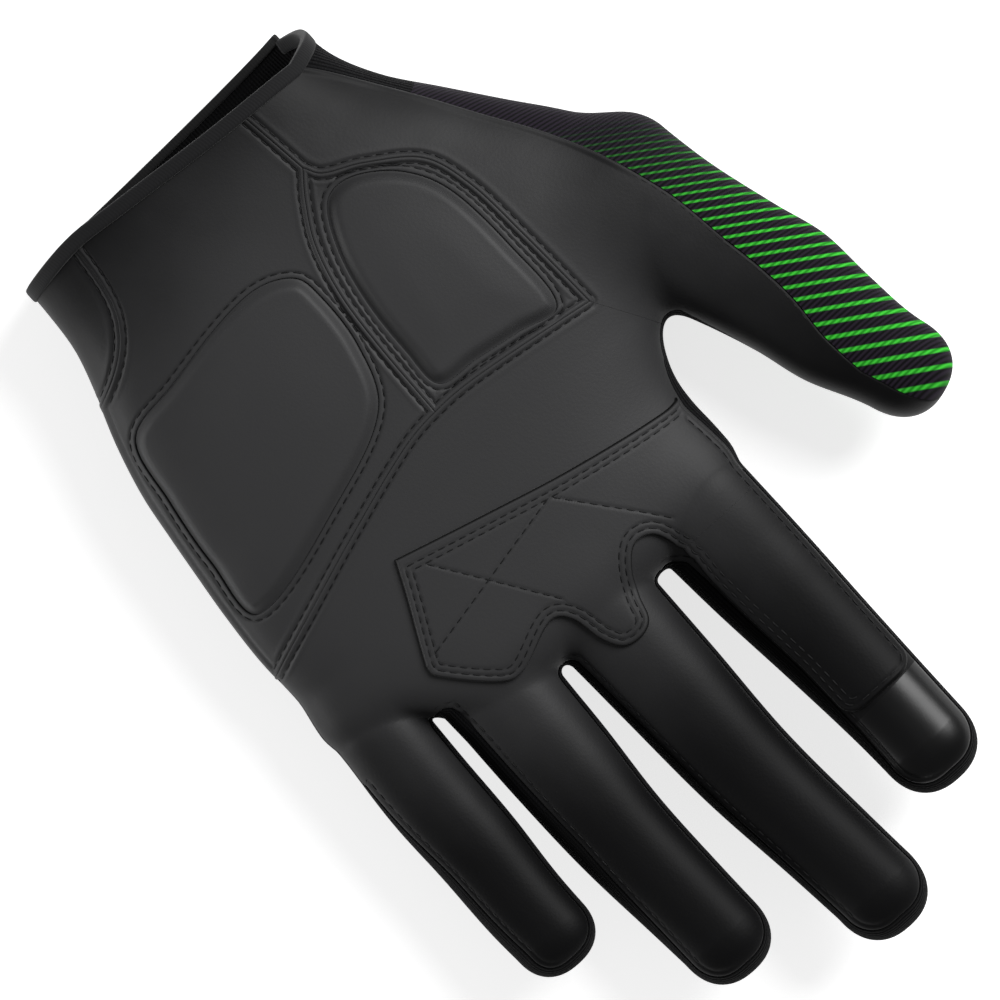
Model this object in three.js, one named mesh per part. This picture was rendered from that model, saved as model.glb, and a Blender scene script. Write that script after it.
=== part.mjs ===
// A motocross glove for the left hand, lying on its back with the palm up.
// Millimetres. +Y runs along the fingers, +X to the little finger, +Z out of the palm.
// Every panel is a patch of one smooth hand surface, which the first sections describe.

import * as THREE from "three";
import { mergeVertices } from "three/addons/utils/BufferGeometryUtils.js";

// Driving sizes of the hand
const palmWidth = 100; // between the side seams of the palm
const palmLength = 100; // from the wrist crease to the root of the little finger
const palmDepth = 34; // from the back of the hand to the palm
const digitDepth = 21; // through the root of a finger
const thumbDepth = 26; // through the ball of the thumb
const thumbLength = 80; // from the middle of its ball to the tip
const thumbWidth = 29;
const indexLength = 78.4; // each from inside its root to the tip
const middleLength = 94.4;
const ringLength = 79.6;
const littleLength = 64.2;
const indexWidth = 26;
const middleWidth = 25;
const ringWidth = 25;
const littleWidth = 20.5;
const fingerRounding = 2.4; // how widely the fingers melt into the palm and each other
const rootRounding = 10; // the same further down, where they are part of the palm
const thumbRounding = 8;

// Driving sizes of the pieces
const leatherThickness = 1.1;
const knitThickness = 0.9;
const overlayThickness = 0.8;
const foamThickness = 2;
const padRise = 2.4; // how far the heel pads stand out of the palm
const seamGap = 0.5; // between neighbours in one layer
const layerGap = 0.5; // between one layer and the next
const overlayGap = 0.8; // under the overlay, which bridges the valleys between the fingers
const bindingWidth = 3.3;
const bindingThickness = 2.4;
const littleSideInset = 2.6; // from the outline to the leather's edge, little-finger side
const thumbSideInset = 1.1; // the same on the thumb side of a finger
const tipInset = 3.6; // the same round a fingertip
const backInset = 4; // from the outline to the back strip's edge
const overlayInset = 1.3; // from the leather's edge to the overlay's
const foamInset = 3.6; // from a pad's outline to its foam

// How finely the surface is solved and drawn
const solveStep = palmDepth / 40;
const probe = palmDepth / 200;
const reach = palmDepth * 2;
const halvingCount = 22;
const sliver = probe / 6; // triangles smaller than its square are left out
const degree = Math.PI / 180;

// The hand surface

// A smooth curve through the rows of a table, whose first column is the place.
function alongTable(table, column, place) {
  const last = table.length - 1;
  const at = Math.min(Math.max(place, table[0][0]), table[last][0]);
  let i = 0;
  while (i < last - 1 && at > table[i + 1][0]) i += 1;
  const slope = (k) => {
    const a = table[Math.max(k - 1, 0)];
    const b = table[Math.min(k + 1, last)];
    return (b[column] - a[column]) / (b[0] - a[0]);
  };
  const span = table[i + 1][0] - table[i][0];
  const t = (at - table[i][0]) / span;
  const bend = t * t * (3 - 2 * t);
  const start = t * (1 - t) * (1 - t) * span * slope(i);
  const end = t * t * (t - 1) * span * slope(i + 1);
  return table[i][column] * (1 - bend) + table[i + 1][column] * bend + start + end;
}

// The palm's sections: place along the hand, thumb-side edge, little-finger edge, back, front.
// The first three are shares of the palm's length and width, the last two of its depth.
const palmSectionShares = [
  [-1.2, -0.2, 0.58, 0.035, 1.22],
  [-1.12, -0.208, 0.58, 0.03, 1.2],
  [-1.02, -0.225, 0.582, 0.015, 1.15],
  [-0.92, -0.275, 0.592, -0.01, 1.1],
  [-0.82, -0.35, 0.622, -0.02, 1.08],
  [-0.71, -0.433, 0.661, -0.03, 1.06],
  [-0.6, -0.517, 0.69, -0.03, 1.05],
  [-0.5, -0.575, 0.705, -0.03, 1.04],
  [-0.4, -0.56, 0.718, -0.03, 1.02],
  [-0.3, -0.48, 0.73, -0.03, 1.0],
  [-0.18, -0.385, 0.739, -0.03, 0.96],
  [-0.05, -0.312, 0.738, -0.02, 0.92],
  [0.1, -0.3, 0.744, 0.0, 0.88],
  [0.24, -0.295, 0.75, 0.03, 0.84],
];
const palmPower = 2.7; // 2 is an oval section, more is squarer
const palmEndShare = 0.125; // where the palm starts to close towards the fingers
const palmEndRoundShare = 0.13;
const littleDropShare = 0.11; // how much lower the palm closes at the little finger
const littleDropFromShare = 0.42;
const littleDropToShare = 0.6;

// A digit's sections: place along it, its middle sideways, its width, its height, its depth.
// Places are shares of its length, sideways ones of the palm's width, the rest of its own sizes.
const digits = {
  index: {
    rounding: [rootRounding, fingerRounding],
    roundingShares: [0.02, 0.21],
    rootShare: [0, 0.2],
    turn: 0,
    length: indexLength,
    width: indexWidth,
    depth: digitDepth,
    tipShare: 0.14,
    sectionShares: [
      [0, -0.159, 1.01, 0.47, 1.1],
      [0.25, -0.167, 0.965, 0.46, 1.03],
      [0.5, -0.176, 0.885, 0.48, 0.98],
      [0.75, -0.184, 0.82, 0.54, 0.93],
      [1, -0.188, 0.79, 0.66, 0.86],
    ],
    knuckleShare: 0.14,
    middleShare: 0.485,
  },
  middle: {
    rounding: [rootRounding, fingerRounding],
    roundingShares: [0.02, 0.21],
    rootShare: [0, 0.2],
    turn: 0,
    length: middleLength,
    width: middleWidth,
    depth: digitDepth,
    tipShare: 0.115,
    sectionShares: [
      [0, 0.135, 1.02, 0.48, 1.12],
      [0.25, 0.132, 0.965, 0.47, 1.05],
      [0.5, 0.129, 0.89, 0.49, 1.0],
      [0.75, 0.109, 0.83, 0.56, 0.94],
      [1, 0.088, 0.8, 0.7, 0.87],
    ],
    knuckleShare: 0.145,
    middleShare: 0.53,
  },
  ring: {
    rounding: [rootRounding, fingerRounding],
    roundingShares: [0.02, 0.21],
    rootShare: [0, 0.2],
    turn: 0,
    length: ringLength,
    width: ringWidth,
    depth: digitDepth,
    tipShare: 0.13,
    sectionShares: [
      [0, 0.408, 0.98, 0.47, 1.08],
      [0.25, 0.413, 0.955, 0.46, 1.02],
      [0.5, 0.418, 0.88, 0.48, 0.97],
      [0.75, 0.409, 0.812, 0.55, 0.92],
      [1, 0.397, 0.76, 0.67, 0.84],
    ],
    knuckleShare: 0.14,
    middleShare: 0.5,
  },
  little: {
    rounding: [rootRounding, fingerRounding],
    roundingShares: [-0.04, 0.12],
    rootShare: [0, 0.1],
    turn: 0,
    length: littleLength,
    width: littleWidth,
    depth: digitDepth,
    tipShare: 0.14,
    sectionShares: [
      [0, 0.651, 0.96, 0.45, 0.98],
      [0.25, 0.661, 0.99, 0.44, 0.93],
      [0.5, 0.663, 0.965, 0.45, 0.88],
      [0.75, 0.669, 0.915, 0.49, 0.83],
      [1, 0.663, 0.86, 0.56, 0.76],
    ],
    knuckleShare: 0.27,
    middleShare: 0.53,
  },
  thumb: {
    rounding: [thumbRounding, thumbRounding],
    roundingShares: [0, 1],
    rootShare: [-0.46, -0.4],
    turn: 18,
    length: thumbLength,
    width: thumbWidth,
    depth: thumbDepth,
    tipShare: 0.15,
    sectionShares: [
      [0, -0.013, 1.2, 0.5, 1.1],
      [0.17, -0.01, 1.1, 0.5, 1.06],
      [0.37, -0.016, 1.01, 0.52, 1.0],
      [0.52, -0.018, 0.98, 0.55, 0.94],
      [0.67, -0.002, 0.89, 0.57, 0.88],
      [0.82, 0.002, 0.74, 0.6, 0.82],
      [1, 0.0, 0.68, 0.62, 0.76],
    ],
    knuckleShare: 0.4,
    middleShare: 0.66,
  },
};
const digitPower = 2.35;

// How far a place lies outside a rounded form, measured along the line from its middle.
function roundedDistance(side, up, past, halfWidth, halfDepth, cap, power) {
  const sum =
    Math.abs(side / halfWidth) ** power +
    Math.abs(up / halfDepth) ** power +
    Math.abs(past / cap) ** power;
  const away = Math.hypot(side, up, past);
  return away - away / Math.max(sum ** (1 / power), 1e-9);
}

function easeStep(from, to, value) {
  const t = Math.min(Math.max((value - from) / (to - from), 0), 1);
  return t * t * (3 - 2 * t);
}

function palmSection(y) {
  const place = y / palmLength;
  return {
    left: alongTable(palmSectionShares, 1, place) * palmWidth,
    right: alongTable(palmSectionShares, 2, place) * palmWidth,
    back: alongTable(palmSectionShares, 3, place) * palmDepth,
    front: alongTable(palmSectionShares, 4, place) * palmDepth,
  };
}

function palmDistance(x, y, z) {
  const section = palmSection(y);
  const drop = littleDropShare * easeStep(littleDropFromShare, littleDropToShare, x / palmWidth);
  const past = Math.max(y - (palmEndShare - drop) * palmLength, 0);
  return roundedDistance(
    x - (section.left + section.right) / 2,
    z - (section.back + section.front) / 2,
    past,
    (section.right - section.left) / 2,
    (section.front - section.back) / 2,
    palmEndRoundShare * palmLength,
    palmPower,
  );
}

// The place on a digit's middle line, a share of its length from its root.
function digitMiddle(digit, share) {
  const turn = digit.turn * degree;
  const along = share * digit.length;
  const side = alongTable(digit.sectionShares, 1, share) * palmWidth;
  return new THREE.Vector3(
    digit.rootShare[0] * palmWidth + side * Math.cos(turn) - along * Math.sin(turn),
    digit.rootShare[1] * palmLength + side * Math.sin(turn) + along * Math.cos(turn),
    alongTable(digit.sectionShares, 3, share) * palmDepth,
  );
}

function digitDistance(digit, x, y, z) {
  const turn = digit.turn * degree;
  const dx = x - digit.rootShare[0] * palmWidth;
  const dy = y - digit.rootShare[1] * palmLength;
  const along = dy * Math.cos(turn) - dx * Math.sin(turn);
  const cap = digit.tipShare * digit.length;
  const tipMiddle = digit.length - cap;
  const share = Math.min(along, tipMiddle) / digit.length;
  const side = dx * Math.cos(turn) + dy * Math.sin(turn);
  return roundedDistance(
    side - alongTable(digit.sectionShares, 1, share) * palmWidth,
    z - alongTable(digit.sectionShares, 3, share) * palmDepth,
    Math.max(along - tipMiddle, -along, 0),
    (alongTable(digit.sectionShares, 2, share) * digit.width) / 2,
    (alongTable(digit.sectionShares, 4, share) * digit.depth) / 2,
    cap,
    digitPower,
  );
}

// Joins two distances with a fillet.
function melt(a, b, rounding) {
  const near = Math.max(rounding - Math.abs(a - b), 0);
  return Math.min(a, b) - (near * near) / (4 * rounding);
}

// How far a place lies outside the hand surface; negative inside. The back is cut flat at zero.
function handDistance(x, y, z) {
  let distance = palmDistance(x, y, z);
  for (const digit of Object.values(digits)) {
    const [low, high] = digit.roundingShares;
    const [wide, narrow] = digit.rounding;
    const rounding = wide + (narrow - wide) * easeStep(low, high, y / palmLength);
    distance = melt(distance, digitDistance(digit, x, y, z), rounding);
  }
  return Math.max(distance, -z);
}

function outwards(point) {
  const { x, y, z } = point;
  return new THREE.Vector3(
    handDistance(x + probe, y, z) - handDistance(x - probe, y, z),
    handDistance(x, y + probe, z) - handDistance(x, y - probe, z),
    handDistance(x, y, z + probe) - handDistance(x, y, z - probe),
  ).normalize();
}

// Walks from a start along a direction to where the surface is crossed.
function crossing(start, direction, insideFirst) {
  const sign = insideFirst ? 1 : -1;
  const at = (t) => start.clone().addScaledVector(direction, t);
  const passed = (t) => {
    const p = at(t);
    return sign * handDistance(p.x, p.y, p.z) > 0;
  };
  let high = 0;
  while (high < reach && !passed(high)) high += solveStep;
  let low = Math.max(high - solveStep, 0);
  for (let i = 0; i < halvingCount; i += 1) {
    const middle = (low + high) / 2;
    if (passed(middle)) high = middle;
    else low = middle;
  }
  return at(low);
}

const up = new THREE.Vector3(0, 0, 1);
const down = new THREE.Vector3(0, 0, -1);
const onFront = (x, y) => crossing(new THREE.Vector3(x, y, reach), down, false);
const onBack = (x, y) => crossing(new THREE.Vector3(x, y, -solveStep), up, false);

// Seams on the palm, as points in shares of the palm's width and length

const seamShares = {
  palmCross: [[-0.275, -0.275], [-0.183, -0.289], [0.017, -0.316], [0.117, -0.318]],
  palmCrossOuter: [[0.117, -0.318], [0.217, -0.308], [0.417, -0.242], [0.6, -0.178]],
  thenarLeft: [[-0.275, -0.275], [-0.265, -0.47], [-0.253, -0.62], [-0.217, -0.725],
    [-0.117, -0.8], [-0.04, -0.84], [-0.017, -0.875]],
  column: [[0.117, -0.318], [0.112, -0.5], [0.1, -0.63], [0.07, -0.74], [0.025, -0.82],
    [-0.017, -0.875]],
  wrist: [[-0.017, -0.875], [-0.005, -0.97], [0.008, -1.053]],
  wristSide: [[0.438, -1.075], [0.458, -0.95], [0.495, -0.875], [0.56, -0.822]],
  thumbSide: [[-0.58, -0.18], [-0.55, -0.33], [-0.5, -0.48], [-0.442, -0.6], [-0.367, -0.72],
    [-0.3, -0.83], [-0.2, -0.98], [-0.142, -1.053]],
  thenarPad: [[-0.22, -0.315], [-0.12, -0.326], [-0.02, -0.342], [0.072, -0.356], [0.078, -0.45],
    [0.07, -0.58], [0.042, -0.7], [-0.01, -0.79], [-0.08, -0.79], [-0.165, -0.73],
    [-0.215, -0.64], [-0.23, -0.47]],
  overlayBottom: [[-0.233, -0.002], [-0.017, -0.042], [0.18, -0.092], [0.383, -0.147]],
  overlayTop: [[-0.078, 0.24], [-0.05, 0.175], [-0.008, 0.163], [0.033, 0.2], [0.058, 0.25],
    [0.075, 0.3], [0.108, 0.317], [0.15, 0.308], [0.175, 0.267], [0.192, 0.195], [0.23, 0.163],
    [0.342, 0.203], [0.392, 0.188], [0.475, 0.108], [0.487, 0.075]],
  heelPad: [[0.2, -0.4], [0.383, -0.317], [0.67, -0.25], [0.665, -0.4], [0.65, -0.55],
    [0.612, -0.69], [0.483, -0.725], [0.317, -0.753], [0.217, -0.753], [0.15, -0.72],
    [0.133, -0.67], [0.142, -0.53]],
};

// Lines and patches in plan

// Even steps from 0 to 1, both ends among them.
const steps = (count) => Array.from({ length: count }, (_, i) => i / (count - 1));

// A seam drawn smoothly through its points, cut into even lengths.
function seam(name, count) {
  const points = seamShares[name].map(
    ([x, y]) => new THREE.Vector3(x * palmWidth, y * palmLength, 0),
  );
  const curve = new THREE.CatmullRomCurve3(points, false, "centripetal");
  return curve.getSpacedPoints(count - 1);
}

// A closed outline drawn the same way.
function outline(name, count) {
  const points = seamShares[name].map(
    ([x, y]) => new THREE.Vector3(x * palmWidth, y * palmLength, 0),
  );
  const curve = new THREE.CatmullRomCurve3(points, true, "centripetal");
  return curve.getSpacedPoints(count).slice(0, count);
}

const flat = (points) => points.map((p) => new THREE.Vector3(p.x, p.y, 0));

// Cuts a chain of points into even lengths.
function respace(points, count) {
  const chain = flat(points);
  const run = [0];
  for (let i = 1; i < chain.length; i += 1) {
    run.push(run[i - 1] + chain[i].distanceTo(chain[i - 1]));
  }
  const total = run[run.length - 1];
  return steps(count).map((share) => {
    const at = share * total;
    let i = 1;
    while (i < chain.length - 1 && run[i] < at) i += 1;
    return chain[i - 1].clone().lerp(chain[i], (at - run[i - 1]) / (run[i] - run[i - 1]));
  });
}

// Keeps a chain's points and halves its longest stretches until there are as many as asked.
function refine(points, count) {
  const kept = flat(points);
  while (kept.length < count) {
    const lengths = kept.slice(1).map((p, i) => p.distanceTo(kept[i]));
    const longest = lengths.indexOf(Math.max(...lengths));
    kept.splice(longest + 1, 0, kept[longest].clone().lerp(kept[longest + 1], 1 / 2));
  }
  return kept;
}

// Joins chains end to end, without the doubled points.
function chain(...parts) {
  const joined = [];
  for (const part of parts) {
    for (const p of part) {
      const before = joined[joined.length - 1];
      if (!before || Math.hypot(p.x - before.x, p.y - before.y) > layerGap) joined.push(p);
    }
  }
  return joined;
}

// Rows from one chain to another of as many points.
function ladder(from, to, count) {
  return steps(count).map((t) => from.map((p, i) => p.clone().lerp(to[i], t)));
}

// Rows straight across in plan, from each point of one chain to its partner.
function rungs(from, to, count) {
  const [a, b] = [flat(from), flat(to)];
  return a.map((p, i) => steps(count).map((t) => p.clone().lerp(b[i], t)));
}

// A four-sided patch whose inner points blend its sides.
function blendSides(bottom, top, left, right) {
  const sideways = steps(bottom.length);
  const lengthways = steps(left.length);
  const [a, b] = [bottom[0], bottom[bottom.length - 1]];
  const [c, d] = [top[0], top[top.length - 1]];
  return lengthways.map((v, j) =>
    sideways.map((u, i) => {
      const p = bottom[i].clone().lerp(top[i], v);
      const q = left[j].clone().lerp(right[j], u);
      const corners = a.clone().lerp(b, u).lerp(c.clone().lerp(d, u), v);
      return p.add(q).sub(corners);
    }),
  );
}

// Draws the outer points of a grid in by half a seam's gap. Sides can be left alone.
function drawIn(grid, { sides = true, ends = true, by = seamGap / 2 } = {}) {
  const pull = (p, towards) => {
    const way = towards.clone().sub(p);
    const far = way.length();
    return far > 0 ? p.clone().addScaledVector(way, Math.min(by / far, 1 / 2)) : p;
  };
  let rows = grid.map((row) => [...row]);
  if (sides) {
    rows = rows.map((row) => {
      const last = row.length - 1;
      return [pull(row[0], row[1]), ...row.slice(1, last), pull(row[last], row[last - 1])];
    });
  }
  if (ends) {
    const last = rows.length - 1;
    const first = rows[0].map((p, i) => pull(p, rows[1][i]));
    const final = rows[last].map((p, i) => pull(p, rows[last - 1][i]));
    rows = [first, ...rows.slice(1, last), final];
  }
  return rows;
}

const layOn = (grid, surface) => grid.map((row) => row.map((p) => surface(p.x, p.y)));

// Shells

const meshes = [];

// A closed wall between two grids of points. A wrapped one joins its first and last columns.
function wall(name, outer, inner, finish, wrapped = false) {
  const rows = outer.length;
  const columns = outer[0].length;
  const corner = (grid, j, i) => grid[j][i % columns];
  const triangles = [];
  const quad = (a, b, c, d) => triangles.push([a, b, c], [a, c, d]);
  const acrossCount = wrapped ? columns : columns - 1;
  for (let j = 0; j < rows - 1; j += 1) {
    for (let i = 0; i < acrossCount; i += 1) {
      quad(corner(outer, j, i), corner(outer, j, i + 1), corner(outer, j + 1, i + 1),
        corner(outer, j + 1, i));
      quad(corner(inner, j, i), corner(inner, j + 1, i), corner(inner, j + 1, i + 1),
        corner(inner, j, i + 1));
    }
  }
  for (let i = 0; i < acrossCount; i += 1) {
    quad(corner(inner, 0, i), corner(inner, 0, i + 1), corner(outer, 0, i + 1),
      corner(outer, 0, i));
    quad(corner(outer, rows - 1, i), corner(outer, rows - 1, i + 1),
      corner(inner, rows - 1, i + 1), corner(inner, rows - 1, i));
  }
  if (!wrapped) {
    for (let j = 0; j < rows - 1; j += 1) {
      quad(inner[j][0], outer[j][0], outer[j + 1][0], inner[j + 1][0]);
      const end = columns - 1;
      quad(outer[j][end], inner[j][end], inner[j + 1][end], outer[j + 1][end]);
    }
  }
  keep(name, triangles, finish);
}

// Turns triangles into a named piece with its faces pointing out.
function keep(name, triangles, finish) {
  const whole = triangles.filter(([a, b, c]) => {
    const area = b.clone().sub(a).cross(c.clone().sub(a)).length();
    return area > sliver * sliver;
  });
  const volume = whole.reduce((sum, [a, b, c]) => sum + a.dot(b.clone().cross(c)), 0);
  const positions = whole.flatMap(([a, b, c]) => {
    const corners = volume > 0 ? [a, b, c] : [a, c, b];
    return corners.flatMap((p) => [p.x, p.y, p.z]);
  });
  const loose = new THREE.BufferGeometry();
  loose.setAttribute("position", new THREE.Float32BufferAttribute(positions, 3));
  const geometry = mergeVertices(loose, probe / 100);
  geometry.computeVertexNormals();
  const mesh = new THREE.Mesh(geometry, new THREE.MeshStandardMaterial(finish));
  mesh.name = name;
  meshes.push(mesh);
}

// A panel of one thickness under a grid of surface points, lifted where it lies on others.
function panel(name, grid, thickness, finish, { lift = 0, wrapped = false } = {}) {
  const liftAt = typeof lift === "function" ? lift : () => lift;
  const outer = grid.map((row, j) =>
    row.map((p, i) => p.clone().addScaledVector(outwards(p), liftAt(j, i))),
  );
  const inner = grid.map((row, j) =>
    row.map((p, i) => p.clone().addScaledVector(outwards(p), liftAt(j, i) - thickness)),
  );
  wall(name, outer, inner, finish, wrapped);
}

// Finishes, as seen on the glove
const palmLeather = { color: "#2b2b2c", roughness: 0.62, metalness: 0 };
const fingerLeather = { color: "#1f1f20", roughness: 0.6, metalness: 0 };
const glossLeather = { color: "#0c0c0d", roughness: 0.28, metalness: 0 };
const blackKnit = { color: "#121213", roughness: 0.9, metalness: 0 };
const stripedKnit = { color: "#16161a", roughness: 0.85, metalness: 0 };
const ribbedKnit = { color: "#161617", roughness: 0.92, metalness: 0 };
const greyTape = { color: "#3a3a3b", roughness: 0.8, metalness: 0 };
const foam = { color: "#5c5c5e", roughness: 0.95, metalness: 0 };

// Ribs: cuts through the side of the glove, from its front seam round to its back seam

const bandStepCount = 5;

// A rib starts inside the glove and faces a side, an angle in plan. Its seams lie inside the
// outline by the insets, or at a stated distance from its start.
function rib(start, facing, { frontInset, frontAt, back = backInset }) {
  const side = new THREE.Vector3(Math.cos(facing * degree), Math.sin(facing * degree), 0);
  const edge = crossing(start, side, true).distanceTo(start);
  const away = frontAt ?? edge - frontInset;
  const place = (distance) => start.clone().addScaledVector(side, distance);
  const frontPlace = place(away);
  const backPlace = place(edge - back);
  const front = onFront(frontPlace.x, frontPlace.y);
  const rear = onBack(backPlace.x, backPlace.y);
  const angleOf = (p, distance) => Math.atan2(p.z - start.z, distance);
  const [high, low] = [angleOf(front, away), angleOf(rear, edge - back)];
  const points = steps(bandStepCount + 1).map((t, i) => {
    if (i === 0) return front;
    if (i === bandStepCount) return rear;
    const angle = high + (low - high) * t;
    const way = side.clone().multiplyScalar(Math.cos(angle)).addScaledVector(up, Math.sin(angle));
    return crossing(start, way, true);
  });
  return { points, front, back: rear };
}

const fronts = (ribs) => ribs.map((one) => one.front);
const backs = (ribs) => ribs.map((one) => one.back);

// A strip of knit from rib to rib.
function band(name, ribs, thickness, finish) {
  panel(name, drawIn(ribs.map((one) => one.points)), thickness, finish);
}

// Fingers

const stripColumnCount = 6;
const backColumnCount = 4;
const lowerRibCount = 4;
const upperRibCount = 5;
const capShare = 0.56; // where the index fingertip's cap starts, a share of the upper palm strip

function sideRibs(digit, side, fromShare, toShare, count) {
  const facing = digit.turn + (side > 0 ? 0 : 180);
  const frontInset = side > 0 ? littleSideInset : thumbSideInset;
  return steps(count).map((t) =>
    rib(digitMiddle(digit, fromShare + (toShare - fromShare) * t), facing, { frontInset }),
  );
}

function tipRibs(digit, turns) {
  const start = digitMiddle(digit, 1 - digit.tipShare);
  return turns.map((turn) =>
    rib(start, digit.turn + turn, { frontInset: tipInset }),
  );
}

const tipTurns = [150, 125, 105, 90, 75, 55, 30];

// The part of a finger from its knuckle to its middle joint: palm strip, back and two sides.
function lowerFinger(name, digit) {
  const left = sideRibs(digit, -1, digit.knuckleShare, digit.middleShare, lowerRibCount);
  const right = sideRibs(digit, 1, digit.knuckleShare, digit.middleShare, lowerRibCount);
  const front = drawIn(rungs(fronts(left), fronts(right), stripColumnCount));
  const rear = drawIn(rungs(backs(left), backs(right), backColumnCount));
  panel(`${name}_palm_lower`, layOn(front, onFront), leatherThickness, fingerLeather);
  panel(`${name}_back_lower`, layOn(rear, onBack), knitThickness, blackKnit);
  band(`${name}_side_thumbwards`, left, knitThickness, ribbedKnit);
  band(`${name}_side_outwards`, right, knitThickness, ribbedKnit);
}

// The part beyond the middle joint: palm strip, back, and one band round both sides and the tip.
function upperFinger(name, digit, capped) {
  const tipMiddle = 1 - digit.tipShare;
  const left = sideRibs(digit, -1, digit.middleShare, tipMiddle, upperRibCount);
  const right = sideRibs(digit, 1, digit.middleShare, tipMiddle, upperRibCount);
  const tip = tipRibs(digit, tipTurns);
  const half = (tipTurns.length - 1) / 2;
  const leftSide = [...left, ...tip.slice(0, half)];
  const rightSide = [...right, ...tip.slice(half + 1).reverse()];
  const front = rungs(fronts(leftSide), fronts(rightSide), stripColumnCount);
  const rear = drawIn(rungs(backs(leftSide), backs(rightSide), backColumnCount));
  if (capped) {
    const rowOf = Math.round(capShare * (left.length - 1));
    const strip = drawIn(front.slice(0, rowOf + 1));
    const cap = drawIn(front.slice(rowOf));
    panel(`${name}_palm_upper`, layOn(strip, onFront), leatherThickness, fingerLeather);
    panel(`${name}_tip_cap`, layOn(cap, onFront), leatherThickness, glossLeather);
  } else {
    panel(`${name}_palm_upper`, layOn(drawIn(front), onFront), leatherThickness, fingerLeather);
  }
  panel(`${name}_back_upper`, layOn(rear, onBack), knitThickness, blackKnit);
  const round = [...left, ...tip, ...[...right].reverse()];
  band(`${name}_tip_wrap`, round, knitThickness, blackKnit);
}

// Thumb

const thumb = digits.thumb;
const thumbSeamShares = [
  [0.3, -0.1],
  [0.4, -0.04],
  [0.49, 0.02],
  [0.64, 0.12],
  [0.78, 0.19],
  [0.86, 0.18],
];
const thumbBackSeam = -45; // degrees below the inner side
const thumbTilts = [18, 36, 54, 70, 84]; // of the rows over the tip
const thumbRowCount = 4;
const thumbPalmColumnCount = 9;
const thumbBackColumnCount = 11;
const fullTurn = 360;

// The angle of the seam on top of the thumb, seen along it.
function thumbSeamAngle(share) {
  const away = alongTable(thumbSeamShares, 1, share) * thumb.width;
  const turn = thumb.turn * degree;
  const middle = digitMiddle(thumb, share);
  const top = onFront(middle.x + away * Math.cos(turn), middle.y + away * Math.sin(turn));
  return Math.atan2(top.z - middle.z, away) / degree;
}

// Rows of surface points round the thumb between two angles, with rows over the tip if asked.
function thumbRows(shares, tilts, from, to, columns) {
  const turn = thumb.turn * degree;
  const inner = new THREE.Vector3(Math.cos(turn), Math.sin(turn), 0);
  const along = new THREE.Vector3(-Math.sin(turn), Math.cos(turn), 0);
  const level = shares.map((share) => [share, 0]);
  const cuts = [...level, ...tilts.map((tilt) => [shares.at(-1), tilt])];
  return cuts.map(([share, tilt]) => {
    const start = digitMiddle(thumb, share);
    const [low, high] = [from(share), to(share)];
    return steps(columns).map((t) => {
      const angle = (low + (high - low) * t) * degree;
      const way = inner.clone().multiplyScalar(Math.cos(angle));
      way.addScaledVector(up, Math.sin(angle)).multiplyScalar(Math.cos(tilt * degree));
      return crossing(start, way.addScaledVector(along, Math.sin(tilt * degree)), true);
    });
  });
}

function thumbPart(part, shares, tilts) {
  const low = () => thumbBackSeam;
  const wayRound = () => thumbBackSeam + fullTurn;
  const front = thumbRows(shares, tilts, low, thumbSeamAngle, thumbPalmColumnCount);
  const rear = thumbRows(shares, tilts, thumbSeamAngle, wayRound, thumbBackColumnCount);
  panel(`thumb_palm_${part}`, drawIn(front), leatherThickness, fingerLeather);
  panel(`thumb_back_${part}`, drawIn(rear), knitThickness, stripedKnit);
}

// Sides of the hand

const between = (from, to, t) => from + (to - from) * t;

function palmMiddleHeight(y) {
  const section = palmSection(y);
  return (section.back + section.front) / 2;
}

// The little-finger side, from the little finger's knuckle down to the cuff.
const littleSideShares = [0.16, 0.05, -0.05, -0.133, -0.22, -0.31, -0.4, -0.5, -0.6, -0.7, -0.79,
  -0.88, -0.98, -1.07];
const palmSideInset = 1.7;
const crossRibIndex = 4; // where the seam across the palm meets this side
const wristRibIndex = 11; // where the wrist side panel's seam meets it

// The rib at a finger's knuckle, on one side of it.
function knuckleRib(digit, side) {
  return sideRibs(digit, side, digit.knuckleShare, 1, 2)[0];
}

function littleSideRibs() {
  const knuckle = knuckleRib(digits.little, 1);
  const rest = littleSideShares.map((share) => {
    const y = share * palmLength;
    const x = palmSection(y).right - palmDepth / 2;
    return rib(new THREE.Vector3(x, y, palmMiddleHeight(y)), 0, { frontInset: palmSideInset });
  });
  return [knuckle, ...rest];
}

// Between two digits the ribs fan round the middle of the crotch's curve.
function fan(middle, round, turns, insetOf) {
  return turns.map((turn, i) => {
    const way = new THREE.Vector3(Math.cos(turn * degree), Math.sin(turn * degree), 0);
    const start = middle.clone().addScaledVector(way, -round);
    return rib(start, turn, { frontInset: insetOf(i / (turns.length - 1)) });
  });
}

const crotchShares = {
  index_middle: [-0.016, 0.28],
  middle_ring: [0.273, 0.275],
  ring_little: [0.545, 0.175],
};
const crotchStartShare = 0.1;
const crotchTurns = [0, 40, 90, 140, 180];

function crotchRibs(name, first, second) {
  const [x, y] = crotchShares[name];
  const a = knuckleRib(first, 1);
  const b = knuckleRib(second, -1);
  const height = digitMiddle(first, 0).z;
  const middle = new THREE.Vector3(x * palmWidth, y * palmLength, height);
  const insetOf = (t) => between(littleSideInset, thumbSideInset, t);
  return [a, ...fan(middle, crotchStartShare * palmWidth, crotchTurns, insetOf), b];
}

// From the index finger's knuckle down its side, round the thumb's crotch and up to the thumb.
const webShares = [-0.365, -0.07];
const webStartShare = 0.163;
const webTurns = [178, 150, 120, 90, 62, 38];
const indexSideShares = [0.22, 0.13, 0.04];
const webBottomRibIndex = 7; // the rib at the bottom of the thumb's crotch

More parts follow.
